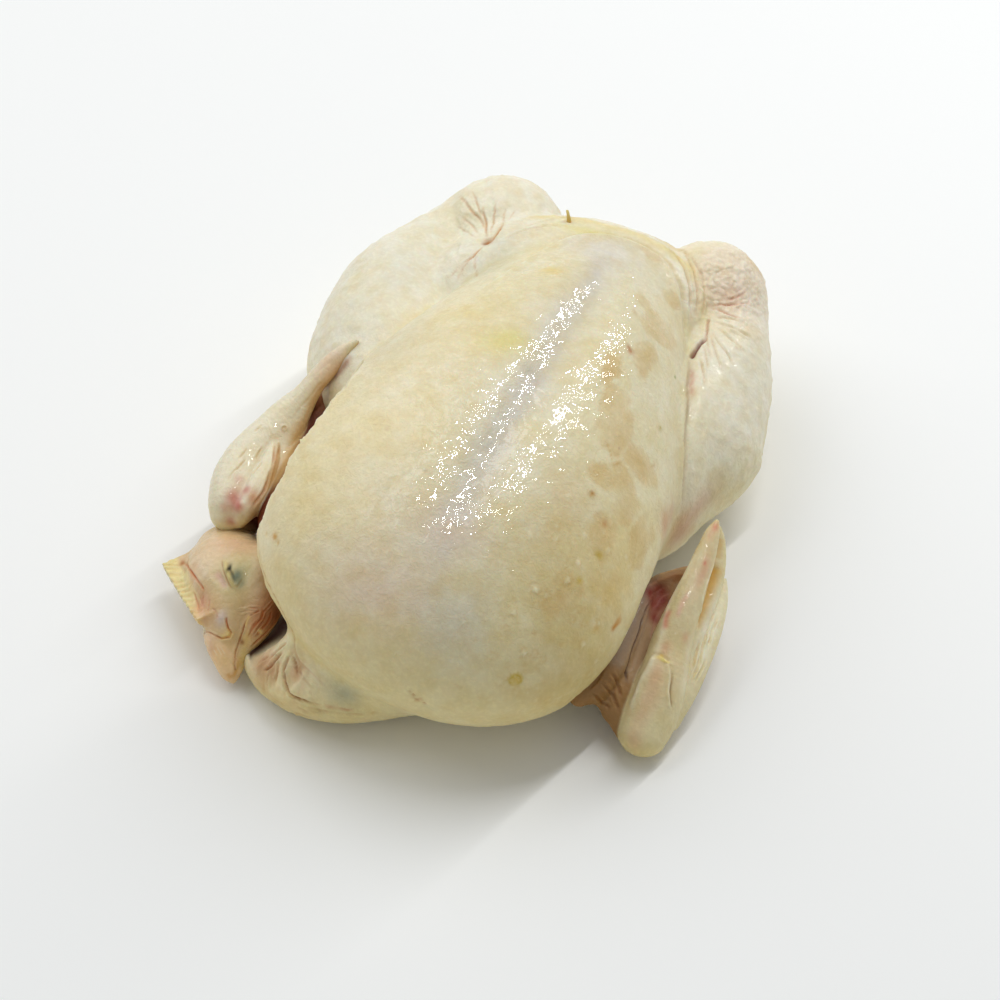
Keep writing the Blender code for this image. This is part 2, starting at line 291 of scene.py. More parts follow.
def wing_hollow(p):
    """The space from the breast's left rim to the folded left wing and the head; the rim overhangs it."""
    return limb(p, [(-6.7, 2.2, 6.9, 0.5, 0.2), (-6.6, 1.0, 7.3, 1.6, 0.9), (-6.65, -0.3, 7.4, 2.0, 1.1),
                    (-6.85, -1.2, 7.15, 2.0, 1.1), (-7.0, -2.1, 6.95, 2.0, 1.1),
                    (-7.25, -3.15, 6.5, 2.0, 1.1), (-7.3, -4.1, 6.15, 2.0, 1.1),
                    (-7.6, -4.85, 5.5, 1.9, 1.1), (-7.95, -5.4, 4.8, 1.5, 1.1), (-7.3, -7.0, 4.3, 1.1, 0.9),
                    (-6.2, -8.5, 4.1, 0.8, 0.7), (-5.2, -9.3, 3.7, 0.4, 0.35)], wide=(0.22, -0.63, 0.74))


def wing_pit(p):
    """The hollow of the flank where the right wing leaves it."""
    return limb(p, [(7.25, 0.6, 3.3, 1.0, 0.6), (7.13, -0.65, 3.17, 2.4, 0.88),
                    (7.06, -1.66, 3.02, 2.8, 0.9), (6.97, -2.43, 2.86, 2.8, 0.9),
                    (6.92, -3.18, 2.71, 2.8, 0.9), (6.85, -3.9, 2.55, 2.6, 0.9),
                    (6.77, -4.78, 2.33, 2.4, 0.9), (6.53, -5.75, 2.09, 2.0, 0.9),
                    (6.22, -6.54, 1.9, 1.6, 0.9), (5.92, -7.06, 1.8, 1.2, 0.9)], wide=(0.22, -0.63, 0.74))


def throat_hollow(p):
    """The gap between the head's lower edge and the neck that bends back under it."""
    return limb(p, [(-5.3, -7.3, 3.3, 0.4), (-5.8, -7.7, 2.7, 0.45), (-6.3, -8.1, 2.1, 0.35)])


def body_field(p):
    """Everything but the head and wings: the trunk, its hollows, and the masses that join it."""
    p = np.asarray(p, float)
    d = trunk(p)
    d = cut(d, only_near(p, wing_hollow, (-9, -10, 3), (-5.2, 2.8, 9.4)), 0.15)
    d = cut(d, only_near(p, wing_pit, (5.0, -9, 0), (8.5, 2.5, 6)), 0.35)
    for mass, low, high, k in [
            (belly_flap, (-6.5, 5, 1.8), (5.5, 13.5, 8), 0.5), (tail, (-2, 8, 0), (4, 15.5, 6), 0.6),
            (left_leg, (-9.6, 0, 0), (-1.5, 15.5, 7.5), 0.45), (right_leg, (2, -0.5, 0), (9, 14.5, 7), 0.3),
            (neck, (-9.5, -11, 0), (2, -4, 5.5), 0.6)]:
        d = join(d, only_near(p, mass, low, high), k)
    d = cut(d, only_near(p, throat_hollow, (-7, -8.7, 1.5), (-4.5, -7, 4.2)), 0.25)
    return cut(d, p[:, 2], 0.3)


# ---- wings
RIGHT_WING_WIDE = (0.97, 0.06, -0.23)
LEFT_WING_WIDE = (0.90, -0.17, -0.40)


def right_arm(p):
    """The right wing's upper and lower arm, folded side by side, and the web of skin between them."""
    upper = limb(p, [(6.01, -1.4, 2.2, 0.35), (5.98, -2.64, 2.25, 0.5), (5.92, -3.88, 2.25, 0.58),
                     (5.85, -5.0, 2.15, 0.6), (5.65, -5.9, 2.0, 0.5), (5.2, -6.5, 2.0, 0.4)])
    elbow = limb(p, [(5.95, -1.5, 1.9, 0.4), (6.3, -0.9, 2.2, 0.3), (6.78, -0.6, 2.45, 0.25),
                     (7.3, -0.5, 2.7, 0.3)])
    forearm = limb(p, [(6.75, -0.75, 2.1, 0.35), (6.66, -1.2, 1.6, 0.6), (6.62, -2.05, 1.3, 0.7),
                       (6.7, -3.5, 1.25, 0.75), (6.84, -5.0, 1.2, 0.72), (6.95, -6.1, 1.0, 0.62)])
    between = limb(p, [(6.3, -1.6, 1.6, 0.6), (6.3, -3.5, 1.5, 0.75), (6.35, -5.3, 1.35, 0.75),
                       (6.4, -6.1, 1.2, 0.5)])
    web = limb(p, [(4.9, -6.45, 2.3, 0.3, 0.2), (5.24, -6.2, 2.0, 0.35, 0.2),
                   (5.73, -5.95, 1.75, 0.42, 0.2), (6.2, -6.0, 1.45, 0.5, 0.22),
                   (6.67, -6.3, 1.15, 0.48, 0.24), (7.07, -6.6, 0.95, 0.5, 0.3)], wide=(-0.1, 0.9, 0.4))
    return joined(upper, (forearm, 0.2), (elbow, 0.2), (web, 0.3), (between, 0.12))


def right_hand(p):
    """The right wing's tip: the hand, the thumb on it, the bare quills and the trailing skin."""
    hand = limb(p, [(7.6, -6.65, 0.95, 0.88, 0.78), (7.65, -6.15, 1.2, 0.98, 0.8),
                    (7.72, -5.5, 1.6, 0.95, 0.75), (7.72, -4.67, 2.0, 0.85, 0.7),
                    (7.67, -3.8, 2.35, 0.75, 0.6), (7.69, -3.03, 2.7, 0.68, 0.55),
                    (7.74, -2.15, 3.0, 0.58, 0.5), (7.8, -1.27, 3.3, 0.5, 0.4),
                    (7.84, -0.43, 3.6, 0.42, 0.32), (7.87, 0.45, 3.95, 0.3, 0.22),
                    (7.9, 1.0, 4.15, 0.1, 0.1)], wide=RIGHT_WING_WIDE)
    thumb = limb(p, [(7.5, -6.7, 1.25, 0.6, 0.5), (7.55, -5.9, 1.85, 0.6, 0.42),
                     (7.6, -5.2, 2.3, 0.55, 0.34), (7.6, -4.7, 2.6, 0.45, 0.22)], wide=RIGHT_WING_WIDE)
    quill = limb(p, [(8.0, 1.0, 3.85, 0.1, 0.08), (8.12, 0.55, 3.5, 0.3, 0.14),
                     (8.28, -0.43, 3.05, 0.4, 0.18), (8.28, -1.39, 2.7, 0.42, 0.2),
                     (8.2, -2.33, 2.4, 0.42, 0.2), (8.1, -3.5, 2.0, 0.4, 0.2), (8.0, -4.8, 1.6, 0.3, 0.15)],
                 wide=RIGHT_WING_WIDE)
    stub = limb(p, [(8.38, -0.2, 2.95, 0.06), (8.62, -0.16, 2.85, 0.05), (8.72, -0.05, 2.9, 0.04)])
    trailing = limb(p, [(8.53, 0.15, 2.55, 0.06, 0.06), (8.69, -0.56, 2.35, 0.2, 0.14),
                        (8.72, -1.35, 2.2, 0.33, 0.2), (8.72, -2.15, 2.05, 0.42, 0.22),
                        (8.62, -3.17, 1.8, 0.5, 0.25), (8.55, -4.06, 1.55, 0.5, 0.3),
                        (8.42, -5.0, 1.25, 0.48, 0.35), (8.25, -5.8, 0.95, 0.45, 0.35)],
                    wide=RIGHT_WING_WIDE)
    return joined(hand, (quill, 0.1), (trailing, 0.08), (thumb, 0.06), (stub, 0.05))


def right_wing_field(p):
    p = np.asarray(p, float)
    return cut(join(right_arm(p), right_hand(p), 0.12), p[:, 2], 0.2)


def left_arm(p):
    """The left wing's upper and lower arm, mostly hidden behind the hand."""
    upper = limb(p, [(-7.1, -3.6, 3.2, 0.9), (-7.3, -1.8, 2.8, 1.3), (-7.8, 0.8, 2.7, 1.1),
                     (-7.9, 1.8, 2.9, 1.1), (-7.7, 2.9, 3.4, 0.9)])
    forearm = limb(p, [(-8.5, 1.7, 2.6, 0.7, 0.7), (-8.7, 0.7, 2.4, 0.9, 0.8), (-8.9, -1.1, 2.3, 0.9, 0.9),
                       (-9.1, -2.8, 2.3, 0.85, 0.85)], wide=LEFT_WING_WIDE)
    return join(upper, forearm, 0.4)


def left_hand(p):
    """The left wing's tip, with the thumb lying along it."""
    hand = limb(p, [(-9.36, -3.30, 2.95, 0.72, 0.75), (-9.36, -2.97, 3.15, 0.88, 0.85),
                    (-9.40, -2.08, 3.30, 1.04, 0.86), (-9.38, -1.05, 3.50, 0.95, 0.8),
                    (-9.01, 0.07, 3.80, 0.8, 0.7), (-8.68, 1.02, 4.15, 0.62, 0.58),
                    (-8.36, 1.54, 4.50, 0.46, 0.46), (-8.04, 2.00, 4.90, 0.4, 0.38),
                    (-7.61, 2.68, 5.40, 0.4, 0.32), (-7.25, 3.10, 5.80, 0.3, 0.24),
                    (-6.95, 3.33, 6.10, 0.18, 0.16), (-6.76, 3.46, 6.30, 0.08, 0.08)], wide=LEFT_WING_WIDE,
                parts=4)
    thumb = limb(p, [(-8.91, -3.60, 3.10, 0.4, 0.35), (-8.65, -3.32, 3.45, 0.46, 0.42),
                     (-8.48, -2.73, 3.70, 0.48, 0.42), (-8.44, -2.02, 3.90, 0.42, 0.36),
                     (-8.49, -1.18, 4.00, 0.3, 0.26), (-8.64, -0.32, 4.05, 0.12, 0.1)], wide=LEFT_WING_WIDE)
    rear_edge = limb(p, [(-8.5, -3.2, 3.3, 0.3), (-8.3, -2.3, 3.45, 0.4), (-8.25, -1.3, 3.55, 0.44),
                         (-8.32, -0.2, 3.6, 0.42), (-8.25, 0.6, 3.9, 0.36), (-8.1, 1.3, 4.35, 0.25),
                         (-7.95, 1.8, 4.7, 0.14)])
    return joined(hand, (rear_edge, 0.35), (thumb, 0.08))


def left_wing_field(p):
    p = np.asarray(p, float)
    return join(left_arm(p), left_hand(p), 0.15)


# ---- head
HEAD_WIDE = (0.93, 0.38, 0.05)


def head_field(p):
    p = np.asarray(p, float)
    skull = limb(p, [(-9.17, -4.0, 1.75, 1.2, 0.9), (-8.6, -5.2, 1.95, 1.6, 1.22),
                     (-8.0, -6.2, 1.85, 1.28, 1.2), (-7.74, -6.95, 1.6, 1.14, 1.05),
                     (-7.66, -7.6, 1.25, 0.93, 0.85), (-7.45, -8.15, 0.95, 0.62, 0.6),
                     (-7.32, -8.5, 0.68, 0.4, 0.4), (-7.15, -8.72, 0.48, 0.16, 0.2)], wide=HEAD_WIDE)
    nape = ball(p, (-7.2, -5.4, 2.1), (1.1, 1.6, 1.25), (0, 0, 12))
    socket = ball(p, (-8.0, -5.75, 2.75), (0.5, 0.72, 0.5), (0, 0, 12))
    throat = limb(p, [(-6.9, -5.9, 2.5, 0.75), (-6.62, -6.6, 2.35, 0.72), (-6.6, -7.2, 2.1, 0.52),
                      (-6.7, -7.75, 1.75, 0.3), (-6.9, -8.15, 1.3, 0.16)])
    lower_beak = limb(p, [(-6.9, -7.4, 1.8, 0.28), (-6.93, -7.9, 1.4, 0.22), (-6.97, -8.3, 0.95, 0.17),
                          (-7.03, -8.62, 0.58, 0.1)])
    comb = plate(p, [(-10.44, -4.55, 2.0), (-11.4, -5.28, 1.7), (-10.56, -6.16, 1.6), (-9.4, -7.15, 1.55),
                     (-8.64, -7.85, 1.5), (-8.24, -7.5, 1.9), (-8.84, -6.3, 2.1), (-9.7, -5.0, 2.2)], 0.13,
                 0.08)
    return joined(skull, (nape, 0.5), (throat, 0.3), (socket, 0.35), (comb, 0.35), (lower_beak, 0.08))


# ================================================================ meshing
def values_on_grid(field, low, high, step, skip=4):
    """The field on a grid. Away from its zero surface only each skip-th value is its own."""
    coarse = np.ceil((np.asarray(high) - low) / (step * skip)).astype(int) + 1
    axes = [low[k] + np.arange(coarse[k]) * step * skip for k in range(3)]
    values = field(np.stack(np.meshgrid(*axes, indexing="ij"), -1).reshape(-1, 3)).reshape(coarse)
    for axis in range(3):
        place = np.arange((coarse[axis] - 1) * skip + 1)
        i = np.minimum(place // skip, coarse[axis] - 2)
        t = ((place - i * skip) / skip).reshape([-1 if k == axis else 1 for k in range(3)])
        values = np.take(values, i, axis) * (1 - t) + np.take(values, i + 1, axis) * t
    close = np.abs(values) < step * skip * 1.3
    values[close] = field(low + np.argwhere(close) * step)
    return values


def grid_net(field, low, high, step):
    """Points and quads of the field's zero surface on a grid."""
    low = np.asarray(low, float)
    values = values_on_grid(field, low, high, step)
    inside = values < 0
    size = np.array(values.shape)
    corners = list(np.ndindex(2, 2, 2))
    filled = sum(inside[tuple(slice(c, n - 1 + c) for c, n in zip(corner, size))].astype(int)
                 for corner in corners)
    crossed = (filled > 0) & (filled < 8)
    cells = np.argwhere(crossed)
    number = np.full(crossed.shape, -1)
    number[crossed] = np.arange(len(cells))
    total = np.zeros((len(cells), 3))
    count = np.zeros(len(cells))
    for corner in corners:
        for axis in range(3):
            if corner[axis]:
                continue
            other = np.array(corner)
            other[axis] = 1
            a = values[tuple((cells + corner).T)]
            b = values[tuple((cells + other).T)]
            m = (a < 0) != (b < 0)
            place = np.tile(np.array(corner, float), (len(cells), 1))
            place[m, axis] += a[m] / (a[m] - b[m])
            total[m] += place[m]
            count[m] += 1
    points = (cells + total / count[:, None]) * step + low
    quads = []
    for axis in range(3):
        before = inside[tuple(slice(0, -1) if k == axis else slice(None) for k in range(3))]
        after = inside[tuple(slice(1, None) if k == axis else slice(None) for k in range(3))]
        edges = np.argwhere(before != after)
        u, v = [k for k in range(3) if k != axis]
        ring = []
        for du, dv in ((-1, -1), (0, -1), (0, 0), (-1, 0)):
            cell = edges.copy()
            cell[:, u] += du
            cell[:, v] += dv
            ring.append(number[tuple(cell.T)])
        ring = np.stack(ring, 1)
        flip = before[tuple(edges.T)] == (axis == 1)
        ring[flip] = ring[flip][:, ::-1]
        quads.append(ring)
    return points, np.vstack(quads)


def split_faces(points, quads, loops, marked):
    """Cuts the marked quads in four. A neighbour takes the new points on its edges into its own loop."""
    chosen = quads[marked]
    big = np.int64(1) << 32

    def keys(faces):
        ahead = np.roll(faces, -1, 1)
        return np.minimum(faces, ahead) * big + np.maximum(faces, ahead)

    edges, at = np.unique(keys(chosen), return_inverse=True)
    middle = len(points) + at.reshape(-1, 4)
    centre = len(points) + len(edges) + np.arange(len(chosen))
    new = np.vstack([points, (points[edges // big] + points[edges % big]) / 2, points[chosen].mean(1)])
    quarters = [np.stack([chosen[:, k], middle[:, k], centre, middle[:, k - 1]], 1) for k in range(4)]
    rest = quads[~marked]
    wanted = keys(rest)
    found = np.minimum(np.searchsorted(edges, wanted), len(edges) - 1)
    hit = edges[found] == wanted
    border = hit.any(1)
    for face, f, h in zip(rest[border], found[border], hit[border]):
        loop = []
        for k in range(4):
            loop += [face[k]] + ([len(points) + f[k]] if h[k] else [])
        loops = loops + [loop]
    return new, np.vstack([rest[~border], *quarters]), loops


def slope(field, p, eps=0.03):
    """The field's gradient, made a unit vector: the outward normal on the surface."""
    corners = np.array([(1, -1, -1), (-1, -1, 1), (-1, 1, -1), (1, 1, 1)], float)
    g = sum(field(p + eps * c)[:, None] * c for c in corners)
    return g / np.maximum(np.linalg.norm(g, axis=1, keepdims=True), 1e-9)


def settle(field, p, rounds=3, farthest=0.2):
    """Moves points onto the field's zero surface, in each round by farthest at most."""
    for _ in range(rounds):
        p = p - np.clip(field(p), -farthest, farthest)[:, None] * slope(field, p)
    return p


# ================================================================ what the skin carries
def linear(colour):
    """Linear light of a colour given as screen values from 0 to 255."""
    c = np.asarray(colour, float) / 255
    return np.where(c < 0.04045, c / 12.92, ((c + 0.055) / 1.055) ** 2.4)


def tapered(along, fade):
    """1 along the middle of a line, falling to 0 over the share fade at each end."""
    return ease(along / fade) * ease((1 - along) / fade)


class Surface:
    """The points of one piece, and the height, colour and wetness that its details give them.

    p are the points, n their normals and h their heights. q are the points swayed a little, so that
    lines and patches drawn at places come out uneven, and strayed are the points swayed more.
    """

    def __init__(self, field, points, colour, wet):
        self.field = field
        self.p = points
        self.n = slope(field, points)
        self.h = np.zeros(len(points))
        self.tint = np.tile(linear(colour), (len(points), 1))
        self.wet = np.full(len(points), float(wet))
        self.q = points + 0.06 * drift(points, 0.9, 71) + 0.02 * drift(points, 0.35, 81)
        self.strayed = points + 0.4 * drift(points, 1.0, 91, 3)

    def paint(self, mask, colour):
        """Lays a colour over the tint. A dark one, such as painted shade deep in a fold, takes the shine
        away too.
        """
        mask = np.clip(mask, 0, 1)[:, None]
        light = linear(colour)
        self.tint = self.tint * (1 - mask) + light * mask
        darkness = ease((0.32 - light.mean()) / 0.2)
        self.wet *= 1 - mask[:, 0] * darkness

    def around(self, place, reach):
        """1 at a place, falling away smoothly over reach, which may differ in x, y and z."""
        return np.exp(-(((self.q - np.asarray(place)) / np.asarray(reach)) ** 2).sum(1))

    def spot(self, place, reach, colour, strength=1.0, edge=None):
        """A patch of colour. With an edge it is even and irregular, and fades over that share of it."""
        if edge is None:
            mask = self.around(place, reach)
        else:
            d = np.sqrt((((self.strayed - np.asarray(place)) / np.asarray(reach)) ** 2).sum(1))
            mask = ease((1 - d) / edge + 0.5)
        self.paint(mask * strength, colour)

    def swell(self, place, reach, height):
        self.h += height * self.around(place, reach)

    def laid(self, places, gap=0.25):
        """The smooth line through the places, on the surface."""
        places = np.asarray(places, float)
        length = np.linalg.norm(np.diff(places, axis=0), axis=1).sum()
        return settle(self.field, flowing(places, max(3, int(length / gap) + 2)), 5)

    def follow(self, line, reach):
        """Points within reach of a line: their numbers, distance, side (right is +, seen from above)
        and place along it from 0 to 1."""
        close = ((self.q > line.min(0) - reach) & (self.q < line.max(0) + reach)).all(1)
        index = np.flatnonzero(close)
        q = self.q[index]
        steps = np.linalg.norm(np.diff(line, axis=0), axis=1)
        start = np.concatenate([[0], np.cumsum(steps)])
        best = np.full(len(q), 1e9)
        side = np.zeros(len(q))
        along = np.zeros(len(q))
        for i, (a, b) in enumerate(zip(line[:-1], line[1:])):
            t = np.clip((q - a) @ (b - a) / steps[i] ** 2, 0, 1)
            off = q - a - t[:, None] * (b - a)
            d = np.linalg.norm(off, axis=1)
            m = d < best
            best[m] = d[m]
            along[m] = start[i] + t[m] * steps[i]
            side[m] = off[m] @ np.cross(unit(b - a), UP)
        return index, best, side, along / start[-1]

    def line(self, places, width, depth=0.0, lip=0.0, colour=None, strength=1.0, fade=0.25, spread=1.0):
        """A crease (or, with a depth below 0, a ridge) along the places, with its colour."""
        index, d, _, along = self.follow(self.laid(places), width * 4 + 0.1)
        ends = tapered(along, fade)
        core = bell(d / width) * ends
        lips = bell((d - 2 * width) / width) * ends
        self.h[index] += lip * depth * lips - depth * core
        if colour is not None:
            mask = np.zeros(len(self.p))
            mask[index] = bell(d / (width * spread)) * ends * strength
            self.paint(mask, colour)

    def step(self, places, width, height, fade=0.15):
        """A soft step: the left of the line stands higher than the right by height, over width."""
        index, d, side, along = self.follow(self.laid(places), width * 5)
        rest = bell(np.maximum(d - width, 0) / (1.6 * width))
        self.h[index] += -height / 2 * np.tanh(side / width) * rest * tapered(along, fade)


# colours of the parts, as the bare surface has them, and two near-black ones for painted shade in deep
# clefts
CREAM = (232, 222, 186)
MILK = (238, 232, 212)
LILAC = (212, 206, 200)
BUTTER = (232, 214, 150)
OLIVE = (206, 184, 118)
TAN = (208, 174, 108)
OCHRE = (190, 146, 66)
LEMON = (226, 212, 110)
RUST = (176, 96, 22)
# painted shade: near-black and deep red, laid only in deep clefts where shade falls
SHADE_DARK = (58, 24, 8)
SHADE_DEEP_RED = (116, 36, 12)
RED_BROWN = (150, 84, 60)
PINK = (226, 180, 158)
BRUISE = (190, 92, 84)
SLATE = (166, 174, 168)
PEACH = (232, 216, 174)
ROSE = (222, 190, 178)
GREY_BLUE = (188, 190, 186)
HORN = (240, 208, 172)
PALE = (246, 238, 206)

KNOT = (-3.68, 9.19, 7.19)            # where the left hock's skin gathers
MUSCLE_EDGE = [(-2.7, 4.4, 9.0), (-1.9, 6.3, 8.7), (-1.2, 8.5, 8.1), (-0.6, 9.8, 7.8), (0.2, 10.4, 7.6),
               (1.3, 10.6, 7.4), (2.5, 10.5, 7.1), (3.3, 10.1, 6.9), (4.0, 9.2, 6.6), (4.5, 8.2, 6.2),
               (5.0, 6.8, 6.0)]
FLAP_EDGE = [(-3.0, 11.0, 6.9), (-2.0, 11.3, 7.0), (-0.8, 11.3, 7.1), (0.4, 11.3, 7.2), (1.6, 11.3, 7.1),
             (2.7, 11.2, 6.8), (3.7, 10.9, 6.5), (4.5, 10.2, 6.1), (4.9, 9.3, 5.8), (5.1, 8.3, 5.7)]
THIGH_GROOVE = [(5.0, 7.2, 5.9), (5.3, 5.9, 5.95), (5.6, 4.8, 5.97), (6.0, 3.2, 5.55), (6.3, 2.0, 4.76),
                (6.5, 1.2, 3.5)]


def skin_zones(s):
    """The broad colours: creamy breast, milky legs, lilac over the keel, yellower over fat."""
    u, v, w, _ = trunk_coordinates(s.q)
    off_trunk = ease((trunk(s.p) - 0.05) / 0.35)
    leg = off_trunk * ease((s.p[:, 1] + 1) / 2)
    s.paint(leg * 0.9, MILK)
    s.spot((-6.4, 7.1, 6.7), (2.2, 2.2, 2.0), (222, 220, 204), 0.5)
    cloud = 0.5 + 0.5 * rough(s.p, 2.6, 3, 115)
    left_breast = ease((-u - 0.6) / 2.0) * ease((6 - v) / 4) * (1 - off_trunk)
    s.paint(left_breast * (0.25 + 0.45 * cloud), PEACH)
    keel = bell((u + 0.1 + 0.05 * v) / 0.8) * ease((v + 9) / 3) * ease((w - 2) / 2)
    s.paint(keel * (0.75 - 0.03 * np.abs(v)), LILAC)
    # the middle of the keel painted darker grey, partly a greyer skin tone and partly painted shade in its
    # groove
    s.paint(keel ** 4 * 0.25, (186, 178, 168))
    for place, reach, colour, strength in [
            ((0.9, 9.4, 8.0), (2.2, 1.7, 2.0), LILAC, 0.55),
            ((-2.9, 7.8, 7.8), (0.9, 1.8, 1.5), SLATE, 0.35),
            ((4.2, -6.4, 6.4), (2.0, 3.0, 3.0), OLIVE, 0.6),
            ((5.0, -6.6, 4.4), (1.6, 2.4, 1.8), OLIVE, 0.75),
            ((5.6, -3.2, 5.6), (1.3, 3.0, 2.0), BUTTER, 0.6),
            ((-2.4, -9.6, 2.7), (0.6, 0.6, 0.6), SLATE, 0.7),
            ((1.5, -8.6, 6.6), (1.9, 1.4, 1.4), GREY_BLUE, 0.4),
            ((-1.4, -8.2, 7.0), (1.9, 1.6, 1.6), ROSE, 0.5), ((0.2, -6.0, 8.6), (1.6, 1.0, 1.2), ROSE, 0.3),
            ((3.0, -7.6, 6.4), (0.8, 1.4, 1.2), BUTTER, 0.5),
            ((3.5, -3.6, 8.0), (0.8, 1.8, 1.2), TAN, 0.35),
            ((-5.2, -5.0, 7.0), (1.4, 2.4, 2.0), BUTTER, 0.4),
            ((-4.6, 1.5, 8.0), (1.4, 2.2, 2.0), SLATE, 0.25),
            ((-2.4, 3.2, 9.2), (1.2, 1.4, 1.2), BUTTER, 0.35),
            ((5.6, -4.6, 6.0), (0.8, 1.3, 1.0), (216, 182, 104), 0.5)]:
        s.spot(place, reach, colour, strength)
    blotch = rough(s.q, 1.6, 3, 5)
    s.paint(np.clip(blotch, 0, 1) * 0.45, BUTTER)
    s.paint(np.clip(-blotch, 0, 1) * 0.40, MILK)
    fine = rough(s.q, 0.5, 3, 6)
    s.paint(np.clip(fine, 0, 1) * 0.30, (222, 194, 142))
    s.paint(np.clip(-fine, 0, 1) * 0.35, (240, 234, 210))
    for place, reach, strength in [
            ((6.5, 1.2, 2.9), 0.8, 0.5), ((6.3, -0.4, 4.9), (0.5, 0.5, 0.6), 0.6),
            ((6.9, 2.3, 3.3), (0.5, 1.2, 0.6), 0.4), ((6.3, 0.5, 4.5), 0.5, 0.4)]:
        s.spot(place, reach, (196, 120, 84), strength)


def stains(s):
    """The tan patches on the right of the breast, where the outer skin is rubbed off."""
    wander = s.p + 0.55 * drift(s.p, 1.2, 95, 4)
    region = np.zeros(len(s.p))
    for place, reach, strength in [
            ((2.4, 10.3, 7.3), (0.7, 0.5, 0.5), 0.6), ((3.5, 7.1, 7.8), (0.8, 0.4, 0.5), 0.85),
            ((3.8, 8.8, 6.8), (0.5, 0.6, 0.5), 0.6), ((4.0, 6.4, 7.5), (0.95, 0.9, 0.8), 1.1),
            ((4.1, 4.5, 7.9), (0.6, 1.0, 0.7), 0.6), ((3.3, 3.1, 8.7), (0.45, 1.3, 0.7), 0.85),
            ((3.8, 1.4, 8.5), (0.45, 1.4, 0.7), 0.8), ((4.3, 0.6, 8.1), (0.6, 1.1, 0.8), 0.75),
            ((5.2, 0.0, 7.2), (1.3, 0.7, 0.9), 0.8), ((4.6, -1.3, 7.8), (1.1, 0.7, 0.8), 0.8),
            ((5.2, -1.9, 7.1), (0.9, 1.0, 0.9), 0.65), ((4.9, -3.6, 7.2), (0.8, 1.2, 0.9), 0.6),
            ((6.0, -2.3, 6.0), (0.7, 1.3, 0.9), 0.55), ((4.3, -6.3, 6.7), (0.9, 1.2, 0.9), 0.5)]:
        near = np.exp(-(((wander - np.asarray(place)) / np.asarray(reach)) ** 2).sum(1))
        region = np.maximum(region, near * (0.4 + 0.6 * strength))
    stain = ease((region - 0.30 + 0.12 * noise(s.p, 0.5, 14)) / 0.16)
    depth = np.clip(0.12 + 0.5 * region + 0.3 * noise(s.p, 0.8, 15), 0, 0.8)
    s.paint(stain * depth, (212, 178, 112))
    s.paint(stain * ease((0.45 - region) / 0.12) * 0.25, (200, 156, 84))


def skin_spots(s):
    """Yellow patches, and the small spots and scratches on the breast."""
    s.spot((-0.3, 6.6, 9.0), (0.45, 0.3, 0.4), (232, 204, 122), 0.7)
    s.spot((-0.3, 2.2, 9.8), (0.7, 0.5, 0.5), (222, 210, 122), 0.6)
    s.spot((-0.6, 1.6, 9.8), (0.9, 0.6, 0.5), LEMON, 0.4)
    for place, size, colour, strength in [
            ((3.5, 4.2, 8.4), 0.13, RUST, 1.0), ((3.4, 4.3, 8.5), 0.09, RUST, 0.9),
            ((3.1, 6.2, 8.3), 0.12, OCHRE, 0.5), ((5.0, 5.1, 6.6), 0.06, (120, 140, 30), 1.0),
            ((5.3, 2.2, 6.9), 0.09, (170, 150, 30), 1.0), ((4.5, -0.1, 8.0), 0.05, RED_BROWN, 0.9),
            ((4.2, -2.5, 8.0), 0.12, (176, 124, 24), 1.0), ((4.9, -3.1, 7.3), 0.13, (200, 142, 84), 0.8),
            ((5.0, -4.2, 6.9), (0.2, 0.12, 0.15), (196, 166, 50), 0.95),
            ((4.7, -5.4, 6.8), 0.11, (206, 176, 60), 0.9), ((5.6, -6.1, 5.3), 0.13, (206, 160, 50), 0.8),
            ((-5.8, -7.0, 6.9), 0.13, (206, 146, 44), 0.95), ((-5.6, -7.2, 6.9), 0.08, (206, 160, 70), 0.8),
            ((-6.2, -6.7, 6.6), 0.08, (214, 180, 90), 0.6), ((-1.2, -4.5, 9.3), 0.05, RED_BROWN, 0.6),
            ((-3.0, -3.2, 9.5), 0.05, RUST, 0.6), ((1.1, 0.7, 9.3), 0.12, (190, 150, 120), 0.4)]:
        s.spot(place, size, colour, strength)
    s.line([(6.0, -5.6, 4.7), (6.1, -5.2, 4.8), (6.2, -4.9, 4.9)], 0.11, 0.0, colour=(200, 134, 30),
           strength=1.0)
    for places in (
            [(4.0, -1.3, 8.3), (4.4, -1.0, 8.0), (4.8, -0.4, 7.6)],
            [(5.1, -0.8, 7.3), (5.4, 0.1, 7.0), (5.7, 1.0, 6.5)],
            [(4.0, -0.2, 8.3), (4.3, -0.6, 8.0), (4.6, -1.0, 7.8)]):
        s.line(places, 0.03, 0.0, colour=OCHRE, strength=0.5)
    scab = (3.6, -8.8, 5.0)
    ring = np.linalg.norm(s.q - np.array(scab), axis=1)
    s.paint(bell((ring - 0.2) / 0.06) * 0.9, (196, 166, 36))
    s.paint(bell(ring / 0.14) * 0.7, (224, 198, 80))
    s.h += 0.05 * bell((ring - 0.19) / 0.07)


